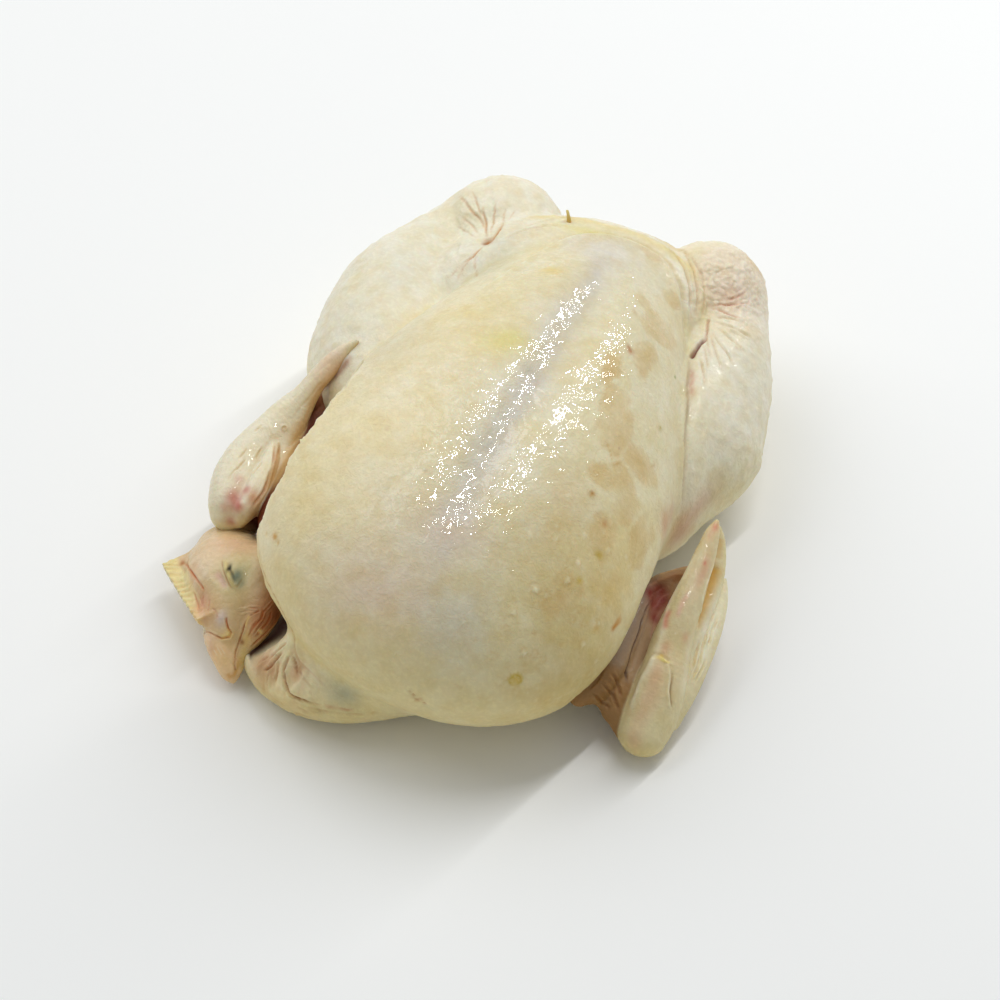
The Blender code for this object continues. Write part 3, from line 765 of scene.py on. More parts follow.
def muscle_and_flap(s):
    """The breast muscle's edge under the skin, and the loose belly skin folded behind it."""
    s.step(MUSCLE_EDGE[::-1], 0.09, 0.22)
    # painted highlight: a pale line along the muscle's edge, where its step catches the light
    s.line(MUSCLE_EDGE, 0.06, -0.03, colour=PALE, strength=0.8, fade=0.1, spread=1.3)
    # painted shade: a darker line on the low side just behind the step
    s.line([(x + 0.02, y + 0.22, z - 0.08) for x, y, z in MUSCLE_EDGE], 0.07, 0.02, colour=(206, 184, 124),
           strength=0.55, fade=0.2)
    s.step(THIGH_GROOVE[::-1], 0.10, 0.20)
    # painted shade: the groove between breast and right thigh darkened brown
    s.line(THIGH_GROOVE, 0.10, 0.05, colour=(176, 140, 96), strength=0.55, fade=0.2)
    s.line(FLAP_EDGE, 0.22, -0.06, colour=BUTTER, strength=0.7, fade=0.1, spread=1.6)
    for places, strength in [
            ([(1.0, 11.3, 7.3), (2.0, 11.6, 6.9), (2.9, 11.3, 6.7), (3.7, 10.5, 6.6), (4.2, 9.5, 6.3),
              (4.6, 8.5, 5.7)], 0.35),
            ([(1.2, 12.3, 6.5), (2.1, 12.3, 6.4), (3.1, 12.1, 6.2), (3.9, 10.9, 6.4), (4.4, 9.8, 6.2),
              (4.7, 8.9, 5.7)], 0.45),
            ([(1.6, 12.4, 6.6), (2.5, 12.4, 6.4), (3.5, 11.8, 6.3), (4.3, 10.9, 6.3), (4.6, 10.0, 6.0),
              (4.9, 9.0, 5.6)], 0.35),
            ([(-3.1, 9.1, 7.4), (-2.6, 9.7, 7.4), (-1.8, 10.3, 7.5), (-0.7, 10.8, 7.5)], 0.2),
            ([(-2.6, 10.0, 7.4), (-1.9, 10.8, 7.3), (-0.9, 11.5, 7.1), (0.0, 11.7, 7.0)], 0.2)]:
        s.line(places, 0.055, 0.05, lip=0.8, colour=OCHRE, strength=strength, fade=0.2, spread=1.2)
    s.spot((-0.5, 10.6, 7.6), (1.3, 0.4, 0.6), LEMON, 0.5)
    s.spot((2.7, 12.3, 6.3), (0.8, 0.8, 0.4), (226, 196, 120), 0.5)


def left_hock(s):
    """The creases that run together at the knot of the left hock."""
    s.swell(KNOT, 0.45, -0.16)
    s.spot((-4.6, 10.6, 6.6), (1.2, 1.2, 0.8), (242, 240, 218), 0.5)
    narrower, shallower = 0.85, 0.55
    for places, width, depth, strength in [
            ([(-3.8, 8.8, 7.2), (-3.7, 9.1, 7.2), (-3.5, 9.3, 7.2), (-3.4, 9.7, 7.2), (-3.4, 10.2, 7.1),
              (-3.6, 11.0, 6.8)], 0.06, 0.12, 0.85),
            ([(-3.7, 9.3, 7.2), (-4.1, 10.3, 6.8), (-4.4, 11.0, 6.6), (-4.7, 11.6, 6.8)], 0.055, 0.10, 0.7),
            ([(-6.0, 12.3, 6.2), (-5.4, 11.5, 6.6), (-4.9, 11.1, 6.6), (-4.5, 10.8, 6.6),
              (-4.0, 10.0, 6.9)], 0.06, 0.09, 0.6),
            ([(-4.2, 7.9, 6.8), (-4.1, 8.1, 6.9), (-3.9, 8.2, 7.1), (-3.8, 8.6, 7.2), (-3.7, 8.9, 7.2)],
              0.05, 0.09, 0.8),
            ([(-3.6, 9.5, 7.2), (-4.0, 10.8, 6.7), (-4.1, 11.4, 6.8), (-4.2, 11.9, 7.0)], 0.05, 0.08, 0.5),
            ([(-5.4, 12.3, 6.6), (-4.8, 11.4, 6.7), (-4.4, 10.8, 6.6)], 0.05, 0.07, 0.45),
            ([(-3.4, 9.8, 7.2), (-3.7, 11.1, 6.8), (-3.7, 11.7, 6.9)], 0.045, 0.06, 0.35),
            ([(-3.5, 10.5, 7.0), (-3.4, 11.3, 6.8), (-3.3, 11.8, 6.8)], 0.04, 0.05, 0.3),
            ([(-4.1, 9.3, 7.0), (-5.0, 10.4, 6.2), (-5.7, 10.8, 6.2)], 0.05, 0.06, 0.35),
            ([(-4.1, 9.6, 7.0), (-4.9, 10.7, 6.4), (-5.6, 11.2, 6.3)], 0.05, 0.06, 0.4),
            ([(-3.9, 8.9, 7.1), (-4.5, 9.0, 6.8), (-5.2, 9.1, 6.4)], 0.045, 0.05, 0.3),
            ([(-3.9, 8.3, 7.1), (-4.1, 7.8, 6.8), (-4.2, 7.2, 6.6)], 0.05, 0.06, 0.35),
            ([(-4.1, 8.1, 7.0), (-4.4, 7.7, 6.7), (-4.7, 7.3, 6.3)], 0.05, 0.05, 0.3),
            ([(-3.7, 8.6, 7.2), (-3.7, 7.9, 7.0), (-3.2, 6.3, 7.9)], 0.05, 0.06, 0.35)]:
        s.line(places, narrower * width, shallower * depth, lip=0.5, colour=(196, 124, 26),
               strength=strength, fade=0.35)
    s.spot(KNOT, 0.2, (176, 106, 30), 0.9)
    # painted shade: a dark dot in the dent at the middle of the knot
    s.spot((-3.8, 9.1, 7.2), 0.1, (120, 60, 24), 0.9)


def right_hock(s):
    """The pebbled, creased skin of the right hock, and the pebbles on the rump."""
    near_hock = np.clip(s.around((5.3, 11.3, 6.0), (2.1, 1.7, 1.8)) * 1.5, 0, 1)
    pebbled = near_hock * ease((s.p[:, 0] - 3.7) / 0.6)
    first, second, _ = nearest_seeds(s.q, 0.27, 11)
    s.h += 0.045 * pebbled * (ease((second - first) / 0.5) - 0.6)
    s.paint(pebbled * 0.5, (240, 222, 204))
    s.paint(pebbled * (1 - ease((second - first) / 0.28)) * 0.25, (216, 190, 158))
    rump = s.around((-2.6, 12.6, 6.6), (1.6, 1.0, 1.0))
    s.h += 0.04 * rump * (ease((second - first) / 0.5) - 0.6)


def right_hock_creases(s):
    """The creases that fan out from the fold where the right drumstick meets the belly."""
    s.spot((5.9, 13.2, 5.5), (0.5, 0.7, 0.7), TAN, 0.6)
    s.spot((5.7, 10.6, 5.9), (0.7, 0.5, 0.5), (236, 190, 164), 0.45)
    s.spot((6.3, 10.6, 5.3), (0.7, 0.8, 0.6), (246, 236, 214), 0.6)
    for places, width, colour, strength in [
            ([(4.9, 9.9, 5.7), (5.2, 10.1, 5.8), (5.5, 10.2, 5.8), (6.1, 10.7, 5.6), (6.6, 11.6, 5.2)],
              0.045, (206, 120, 80), 0.7),
            ([(4.9, 9.9, 5.7), (5.3, 9.9, 5.7), (5.7, 9.8, 5.7), (6.1, 9.8, 5.6), (6.6, 9.9, 5.3)], 0.045,
              (196, 108, 56), 0.75),
            ([(5.5, 10.4, 5.9), (5.8, 10.8, 5.8), (6.1, 11.3, 5.8)], 0.045, (214, 138, 110), 0.6),
            ([(5.8, 10.4, 5.7), (6.3, 10.6, 5.5), (6.7, 10.9, 5.0)], 0.04, (214, 138, 110), 0.5)]:
        s.line(places, width, 0.05, lip=0.7, colour=colour, strength=strength)
    for places in (
            [(5.2, 9.3, 5.7), (5.7, 9.2, 5.7), (6.3, 9.2, 5.5), (6.9, 9.2, 5.2)],
            [(5.2, 9.1, 5.7), (5.8, 8.8, 5.7), (6.4, 8.5, 5.6), (7.0, 8.2, 5.3)],
            [(5.3, 8.9, 5.7), (5.7, 8.3, 5.8), (6.3, 7.8, 5.7), (6.8, 7.3, 5.4)],
            [(5.3, 8.8, 5.7), (5.6, 8.1, 5.8), (6.1, 7.3, 5.8), (6.5, 6.6, 5.6)],
            [(5.3, 8.5, 5.7), (5.5, 7.8, 5.8), (5.8, 7.1, 5.8)],
            [(5.2, 9.5, 5.7), (5.8, 9.6, 5.7), (6.4, 9.7, 5.5)],
            [(5.3, 7.9, 5.8), (5.6, 7.2, 5.9), (5.9, 6.5, 5.9)],
            [(5.3, 7.2, 5.9), (5.7, 6.4, 5.9), (6.0, 5.6, 5.8)]):
        s.line(places, 0.05, 0.055, lip=0.7, colour=OCHRE, strength=0.35, fade=0.3)
    # painted shade: the deep cleft of the fold, in deep red
    s.line([(5.1, 6.9, 5.9), (5.1, 7.4, 5.8), (5.2, 7.9, 5.8), (5.3, 8.3, 5.7)], 0.07, 0.16, lip=0.3,
           colour=SHADE_DEEP_RED, strength=1.0, fade=0.2, spread=1.3)
    s.line([(5.3, 7.8, 5.8), (5.3, 8.3, 5.8), (5.2, 8.9, 5.7), (5.1, 9.5, 5.6)], 0.05, 0.1, lip=0.3,
           colour=(176, 96, 50), strength=0.7, fade=0.2)
    s.line([(5.2, 6.6, 5.9), (5.5, 5.8, 6.0), (5.8, 4.9, 5.9)], 0.09, 0.0, colour=(206, 140, 110),
           strength=0.6)


def breast_rim(s):
    """The breast's thin ragged lip over the left wing and head, and painted shade on the walls under it."""
    hollow = only_near(s.p, wing_hollow, (-9.2, -10.0, 2.5), (-5.0, 4.0, 8.4))
    depth = -trunk(s.p)
    lip = bell(hollow / 0.10) * bell(depth / 0.12)
    ragged = 0.7 + 0.9 * noise(s.p, 0.32, 3) + 0.6 * noise(s.p, 0.8, 4)
    s.h += 0.09 * lip * ragged
    s.paint(lip * 0.6, PALE)
    wall = ease((depth - 0.06) / 0.2) * (hollow < 0.3)
    pale_end = ease((s.p[:, 1] - 0.6) / 1.2)
    beside = np.full(len(s.p), FAR)
    inside = wall > 0
    beside[inside] = np.minimum(left_wing_field(s.p[inside]), head_field(s.p[inside]))
    s.paint(wall * 0.45, (224, 190, 150))
    # painted shade: the wall goes near-black where the wing or head lies close over it
    s.paint(wall * (1 - pale_end) * ease((1.3 - beside) / 0.9), (88, 34, 12))
    # painted shade: the right wing's pit darkened brown where it is deepest
    pit = only_near(s.p, wing_pit, (5.0, -9.0, 0.0), (8.5, 2.5, 6.0))
    s.paint((pit < 0.35) * ease((depth - 0.08) / 0.3) * 0.8, (168, 128, 100))
    edge = [(-6.6, -6.8, 5.7), (-6.0, -7.6, 5.4), (-5.4, -8.3, 5.1), (-4.9, -8.6, 4.5), (-4.6, -8.8, 3.5),
            (-4.3, -9.0, 3.0), (-3.7, -9.3, 2.9), (-3.0, -9.6, 2.7)]
    s.step(edge, 0.06, 0.12, fade=0.1)
    s.line(edge, 0.05, 0.05, colour=(186, 122, 40), strength=0.75, fade=0.1)
    for places in ([(0.2, -10.1, 4.6), (0.6, -10.1, 4.0)], [(0.6, -10.1, 4.4), (0.8, -10.1, 3.8)]):
        s.line([places[0], np.mean(places, 0), places[1]], 0.05, 0.06, colour=RUST, strength=0.6)
    s.swell((0.7, -10.0, 3.6), (0.28, 0.5, 0.35), -0.16)
    s.line([(-2.2, -9.9, 4.6), (-1.3, -10.0, 3.8), (-0.3, -9.7, 2.8)], 0.16, -0.05)
    # painted shadow: red-brown bands on the breast and thigh close beside the left wing's tip
    for places in (
            [(-6.8, 3.0, 6.1), (-7.0, 2.7, 5.8), (-7.3, 2.4, 5.4), (-7.7, 2.3, 4.9)],
            [(-7.5, 2.3, 5.1), (-8.0, 2.3, 4.3), (-8.4, 2.4, 3.3)]):
        s.line(places, 0.15, 0.0, colour=(150, 66, 24), strength=0.8, fade=0.3)


def neck_folds(s):
    """Folded skin where the neck doubles back, and the painted shade filling the cleft between it and the
    jaw.
    """
    s.spot((-4.9, -9.4, 2.2), (1.3, 0.9, 1.2), (254, 240, 204), 0.8)
    s.spot((-5.5, -9.0, 2.4), (0.5, 0.5, 0.5), (222, 168, 128), 0.6)
    s.spot((-5.9, -8.9, 2.0), (0.6, 0.5, 0.6), (186, 134, 86), 0.75)
    s.spot((-4.3, -9.3, 2.8), (0.25, 0.3, 0.4), (216, 150, 110), 0.6)
    s.spot((-5.2, -9.4, 1.2), (1.6, 0.8, 0.5), (214, 190, 130), 0.5)
    folded = s.around((-5.1, -9.3, 2.0), (1.4, 0.9, 1.1))
    bent = s.p + 0.35 * drift(s.p, 0.9, 65)
    across = np.stack([bent[:, 0] * 1.5 - bent[:, 2] * 0.6, bent[:, 1] * 0.5,
                       bent[:, 0] * 0.3 + bent[:, 2] * 0.5], 1)
    ridged = 1 - np.abs(noise(across, 0.42, 64))
    s.h += 0.10 * folded * (ridged ** 3 - 0.3)
    s.paint(folded * (1 - ridged) * 0.6, (196, 146, 84))
    for places, width, depth, strength in [
            ([(-4.5, -8.8, 3.3), (-4.7, -9.0, 3.0), (-4.8, -9.2, 2.6), (-4.7, -9.5, 2.3), (-4.5, -9.7, 2.1),
              (-4.2, -9.8, 2.0), (-3.6, -9.9, 2.0), (-3.1, -9.9, 2.0)], 0.05, 0.10, 0.9),
            ([(-5.7, -9.3, 1.6), (-5.6, -9.4, 1.4), (-5.5, -9.5, 1.1)], 0.04, 0.07, 0.7),
            ([(-5.0, -8.8, 3.1), (-5.3, -9.0, 2.6), (-5.5, -9.1, 2.2), (-5.8, -9.1, 2.0)], 0.05, 0.10, 0.8),
            ([(-5.6, -8.7, 2.5), (-5.9, -8.8, 2.1), (-6.1, -8.9, 1.8)], 0.045, 0.08, 0.7),
            ([(-4.6, -8.9, 3.1), (-4.4, -9.1, 2.9), (-4.2, -9.4, 2.6)], 0.04, 0.06, 0.6),
            ([(-4.9, -8.6, 3.4), (-5.2, -8.7, 2.9), (-5.6, -8.8, 2.4)], 0.045, 0.08, 0.6),
            ([(-5.1, -9.0, 2.8), (-5.1, -9.3, 2.4), (-5.1, -9.5, 2.0)], 0.045, 0.07, 0.5),
            ([(-5.4, -9.2, 2.2), (-5.4, -9.4, 1.8), (-5.3, -9.5, 1.6)], 0.04, 0.06, 0.5),
            ([(-4.3, -9.2, 2.9), (-4.0, -9.4, 2.7), (-3.5, -9.7, 2.6)], 0.04, 0.05, 0.4),
            ([(-5.3, -9.6, 1.2), (-4.4, -9.8, 1.4), (-3.3, -9.9, 1.6), (-2.2, -9.7, 1.5)], 0.05, 0.06, 0.4),
            ([(-4.0, -9.9, 1.7), (-3.1, -9.9, 1.8), (-2.0, -9.7, 1.8), (-1.0, -9.4, 2.0)], 0.045, 0.06,
              0.4),
            ([(-5.4, -9.4, 0.8), (-4.3, -9.7, 1.0), (-3.0, -9.8, 1.2)], 0.05, 0.05, 0.3)]:
        s.line(places, width, depth, lip=0.6, colour=(178, 108, 36), strength=strength, spread=0.8)
    s.line([(-3.1, -9.9, 2.0), (-2.7, -9.8, 2.1), (-2.4, -9.8, 2.0), (-2.1, -9.7, 2.0)], 0.05, 0.06,
           colour=(186, 66, 30), strength=0.9)
    # painted shade: the cleft and the hollow at its top filled with near-black
    cleft = [(-5.5, -7.0, 2.6), (-5.8, -7.2, 2.2), (-6.0, -7.5, 2.1), (-6.3, -7.8, 1.9), (-6.5, -8.1, 1.7),
             (-6.7, -8.3, 1.5)]
    s.line(cleft, 0.24, 0.10, colour=SHADE_DARK, strength=1.0, fade=0.05, spread=1.5)
    s.spot((-5.7, -7.1, 2.4), (0.75, 0.6, 0.8), SHADE_DARK, 1.0)


def follicles(s):
    """Pale raised pores where the feathers stood, strongest low on the right breast and on the thighs."""
    low_right = s.around((4.0, -6.6, 6.0), (2.8, 3.2, 3.2))
    thigh = s.around((7.4, 4.6, 4.6), (1.6, 3.6, 2.6))
    neck_side = s.around((-5.6, -5.4, 6.4), (1.4, 2.4, 2.0)) * 0.5
    left_thigh = s.around((-7.8, 7.4, 5.4), (2.2, 4.0, 2.6)) * 0.6
    where = np.clip(low_right + thigh + neck_side + left_thigh + 0.22, 0, 1)
    first, _, lot = nearest_seeds(s.q, 0.5, 23)
    dot = ease((0.24 - first) / 0.14) * (lot > 0.25)
    s.h += 0.045 * dot * where
    s.paint(dot * where * 0.5, (246, 238, 208))
    ring = bell((first - 0.34) / 0.07) * (lot > 0.25)
    s.paint(ring * low_right * 0.35, (204, 166, 96))


def skin_relief(s):
    """Unevenness of the whole skin, from shallow dents to fine wrinkles, coarser on the thighs."""
    u, v, w, _ = trunk_coordinates(s.p)
    s.h += 0.05 * rough(s.p, 3.4, 2, 31) + 0.020 * rough(s.p, 1.1, 2, 37)
    stretched = np.stack([u * 1.9 + v * 0.9, v * 0.9 - u * 0.5, w], 1)
    s.h += 0.015 * rough(stretched, 0.5, 2, 41)
    thigh = ease((trunk(s.p) - 0.1) / 0.4) * ease((s.p[:, 1] - 0.5) / 2)
    creased = 1 - np.abs(noise(s.p + 0.3 * drift(s.p, 0.8, 45), 0.55, 44))
    s.h += 0.05 * thigh * creased ** 3
    crossed = np.stack([s.p[:, 0] * 0.5 + s.p[:, 1] * 1.2, s.p[:, 1] * 0.4 - s.p[:, 0] * 0.9, s.p[:, 2]], 1)
    s.h += 0.025 * thigh * rough(crossed, 0.7, 3, 48)
    wet = bell((u - 0.1) / 3.4) * ease((v + 9) / 3) * ease((9 - v) / 3) * ease((w - 1) / 2.5)
    s.h += 0.012 * wet * rough(s.p, 0.5, 2, 53)
    s.wet = np.clip(s.wet + 0.75 * wet, 0, 1)


def above(height):
    """Picks the faces whose middle lies above the height."""
    return lambda middles: middles[:, 2] > height


def finely_folded(middles):
    """Picks the faces round the hocks, the belly's folds and the neck's folds."""
    spheres = [((-4.0, 10.2, 6.9), 2.3), ((5.9, 10.4, 5.6), 2.6), ((5.3, 7.5, 5.9), 1.2),
               ((4.2, 10.2, 6.4), 1.4), ((-4.6, -9.2, 2.3), 1.6), ((-5.9, -7.8, 2.0), 1.0)]
    near = [np.linalg.norm(middles - np.array(place), axis=1) < size for place, size in spheres]
    return np.any(near, axis=0) & (middles[:, 2] > 1.6)


def skin_piece():
    s, quads, loops = piece_surface(body_field, ((-12.5, -12, -0.6), (10, 16.6, 11.2)), 0.25,
                                    [above(1.5), finely_folded], CREAM, wet=0.25)
    skin_relief(s)
    skin_zones(s)
    stains(s)
    skin_spots(s)
    follicles(s)
    muscle_and_flap(s)
    left_hock(s)
    right_hock(s)
    right_hock_creases(s)
    breast_rim(s)
    neck_folds(s)
    return make_piece("skin", s, quads, loops, flesh("chicken_skin"))


# ================================================================ wings
def right_arm_skin(s):
    """The wing's broad colours, painted shade under the hand and in its cleft, the bruises and web folds."""
    s.spot((7.9, -1.6, 3.6), (0.4, 2.0, 0.8), (218, 196, 166), 0.5)
    s.spot((7.7, -2.9, 3.3), (0.5, 1.6, 0.7), (200, 184, 142), 0.5)
    s.spot((8.2, -4.6, 2.4), (0.4, 1.8, 0.8), (218, 192, 146), 0.5)
    # the arm under the hand painted brown, greyer toward the body: partly its own flesh tone, partly painted
    # shade
    inner = ease((right_hand(s.p) - right_arm(s.p)) / 0.15 + 0.4)
    s.paint(inner, (176, 146, 112))
    s.paint(inner * ease((6.45 - s.p[:, 0]) / 0.15), (166, 142, 118))
    s.paint(inner * ease((-s.p[:, 1] - 5.0) / 0.6) * 0.9, (158, 120, 74))
    for place, reach in [
            ((6.25, -1.6, 2.5), 0.3), ((6.5, -1.2, 2.3), 0.3), ((6.55, -1.85, 2.15), 0.4),
            ((6.7, -1.5, 2.15), 0.3), ((6.7, -2.35, 2.1), 0.3)]:
        s.spot(place, reach, (132, 36, 28), 0.9)
    for places in (
            [(6.7, -0.9, 2.5), (6.5, -1.2, 2.3), (6.35, -1.9, 2.45), (6.2, -2.65, 2.7)],
            [(6.9, -1.0, 2.3), (6.65, -1.45, 2.15), (6.5, -2.2, 2.2)],
            [(6.8, -1.7, 2.05), (6.75, -2.5, 2.05), (6.8, -3.35, 2.05)]):
        s.line(places, 0.05, 0.03, colour=(190, 130, 114), strength=0.5)
    s.spot((7.0, -0.8, 2.65), (0.3, 0.25, 0.3), (214, 170, 146), 0.7)
    s.line([(6.1, -1.35, 2.55), (6.45, -0.95, 2.5), (6.9, -0.7, 2.75), (7.35, -1.1, 3.55)], 0.05, -0.03,
           colour=(176, 126, 90), strength=0.8, fade=0.1)
    # painted shade: the near-black cleft between the upper arm and the forearm
    s.line([(6.4, -1.75, 2.3), (6.4, -2.7, 2.55), (6.45, -3.5, 2.55), (6.45, -4.35, 2.5),
            (6.45, -5.0, 2.25), (6.65, -5.65, 1.95)], 0.06, 0.09, colour=SHADE_DARK, strength=0.9, fade=0.15)
    for places in (
            [(5.75, -6.0, 2.5), (6.1, -6.05, 2.15), (6.4, -6.15, 1.8), (6.7, -6.5, 1.5)],
            [(6.0, -5.6, 2.55), (6.3, -5.7, 2.1), (6.6, -6.05, 1.8)],
            [(5.6, -6.4, 2.35), (5.95, -6.35, 1.85), (6.4, -6.5, 1.5)],
            [(5.75, -5.55, 2.65), (5.7, -6.0, 2.5), (5.5, -6.45, 2.35)]):
        s.line(places, 0.05, 0.06, lip=0.6, colour=(160, 112, 70), strength=0.6)


def right_quill_skin(s):
    """The bare quills' brown edge and the pale, creased skin that trails below them."""
    s.line([(8.3, -0.2, 3.35), (8.3, -0.9, 3.1), (8.3, -1.5, 2.85), (8.3, -2.2, 2.65), (8.35, -2.75, 2.4)],
           0.17, 0.04, colour=(216, 172, 74), strength=0.95, fade=0.1, spread=1.4)
    s.line([(8.15, 0.7, 3.7), (8.25, 0.3, 3.5), (8.3, -0.05, 3.35)], 0.12, 0.0, colour=(214, 184, 122),
           strength=0.8, fade=0.1)
    s.spot((8.7, -2.4, 2.2), (0.35, 2.6, 0.7), (250, 244, 220), 0.95)
    for places in (
            [(8.7, -1.95, 2.3), (8.65, -3.0, 2.1), (8.7, -3.8, 1.9), (8.7, -4.75, 1.6)],
            [(8.85, -3.3, 1.95), (8.85, -3.9, 1.8), (8.8, -4.5, 1.65)],
            [(8.5, -2.9, 2.2), (8.5, -3.45, 2.0), (8.6, -4.1, 1.85)],
            [(8.8, -1.55, 2.35), (8.8, -2.4, 2.2), (8.8, -3.1, 2.0)]):
        s.line(places, 0.045, 0.06, lip=0.8, colour=(216, 194, 124), strength=0.25)
    s.line([(8.15, 0.6, 3.7), (8.25, -0.15, 3.7), (8.25, -0.85, 3.5), (8.25, -1.45, 3.35),
            (8.3, -2.0, 3.15), (8.3, -2.5, 2.5), (8.4, -3.35, 2.55)], 0.045, -0.035, colour=PALE,
           strength=0.7, fade=0.1)


def right_hand_skin(s):
    """The thumb's edges and their painted shadow, the red marks, and a painted highlight on the hand's low
    ridge.
    """
    top = [(7.2, -4.55, 2.65), (7.35, -4.45, 2.75), (7.6, -4.55, 2.8), (7.85, -4.65, 2.75)]
    s.step(top[::-1], 0.045, 0.14, fade=0.05)
    s.spot((7.55, -4.7, 2.85), (0.32, 0.16, 0.2), (238, 218, 134), 0.9, edge=0.4)
    side = [(7.85, -4.65, 2.75), (8.0, -5.0, 2.6), (8.05, -5.45, 2.35), (8.2, -5.75, 2.15),
            (8.35, -6.0, 1.9)]
    s.step(side[::-1], 0.045, 0.12, fade=0.1)
    s.line(side, 0.04, -0.02, colour=PALE, strength=0.6)
    # painted shadow: a brown line on the hand beside the thumb's raised side
    s.line([(8.0, -4.75, 2.65), (8.1, -5.05, 2.5), (8.15, -5.45, 2.35), (8.25, -5.75, 2.1),
            (8.45, -6.0, 1.8)], 0.035, 0.03, colour=(150, 108, 72), strength=0.6)
    longer, fainter = (1.1, 1.9, 1.5), 0.65
    for place, size, strength in [
            ((7.95, 0.7, 4.2), 0.12, 0.95), ((7.9, 0.3, 4.15), 0.16, 0.35), ((8.0, -0.7, 3.8), 0.05, 1.0),
            ((8.05, -1.0, 3.75), (0.15, 0.4, 0.3), 0.5), ((8.1, -3.55, 2.95), 0.12, 0.4),
            ((7.6, -4.15, 2.85), 0.16, 0.5), ((7.6, -5.3, 2.65), (0.2, 0.3, 0.3), 0.45),
            ((7.6, -6.0, 2.25), 0.3, 0.3), ((7.45, -7.3, 1.35), 0.25, 0.35),
            ((7.45, -6.65, 1.9), 0.3, 0.25)]:
        s.spot(place, np.multiply(size, longer), (212, 104, 84), strength * fainter)
    # painted highlight: a pale line on the low ridge along the hand's left edge
    s.line([(7.55, -0.2, 3.95), (7.45, -0.95, 3.7), (7.35, -1.65, 3.45), (7.2, -2.3, 3.25),
            (7.25, -2.95, 3.15), (7.3, -3.65, 3.0), (7.35, -4.2, 2.8), (7.3, -5.1, 2.7), (7.1, -5.7, 2.35),
            (7.05, -6.2, 2.0), (7.2, -6.7, 1.8)], 0.12, -0.02, colour=(244, 236, 212), strength=0.7,
           fade=0.1)
    s.line([(7.35, -2.7, 3.3), (7.3, -3.1, 3.2), (7.4, -3.6, 3.05)], 0.11, 0.0, colour=(206, 92, 74),
           strength=0.6)
    s.line([(7.8, -1.9, 3.55), (7.7, -2.5, 3.45), (7.65, -3.15, 3.25)], 0.1, 0.0, colour=PINK, strength=0.6)


def right_wing_piece():
    s, quads, loops = piece_surface(right_wing_field, ((2.5, -8.6, -0.3), (10.2, 2.4, 5.0)), 0.15,
                                    [above(0.4), above(1.5)], (224, 212, 168), wet=0.35)
    s.h += 0.03 * rough(s.p, 1.2, 2, 3) + 0.010 * rough(s.p, 0.3, 2, 9)
    right_arm_skin(s)
    right_quill_skin(s)
    right_hand_skin(s)
    return make_piece("wing_right", s, quads, loops, flesh("right_wing_skin"))


def left_arm_skin(s):
    """The wing's shaded sides: tan toward the breast, and dark in the gap under its rim."""
    s.paint(ease((s.n[:, 0] - 0.40) / 0.4) * 0.65, (196, 150, 92))
    under_hand = ease((left_hand(s.p) - left_arm(s.p)) / 0.15 + 0.6)
    in_gap = ease((2.1 - trunk(s.p)) / 0.5)
    s.paint(under_hand * 0.4, (214, 176, 136))
    s.paint(under_hand * in_gap, (96, 38, 14))
    s.spot((-7.6, 2.6, 4.2), (0.6, 0.9, 0.9), (196, 140, 92), 0.6)
    s.spot((-7.5, 2.6, 5.6), (0.6, 1.2, 0.8), (222, 178, 150), 0.5)


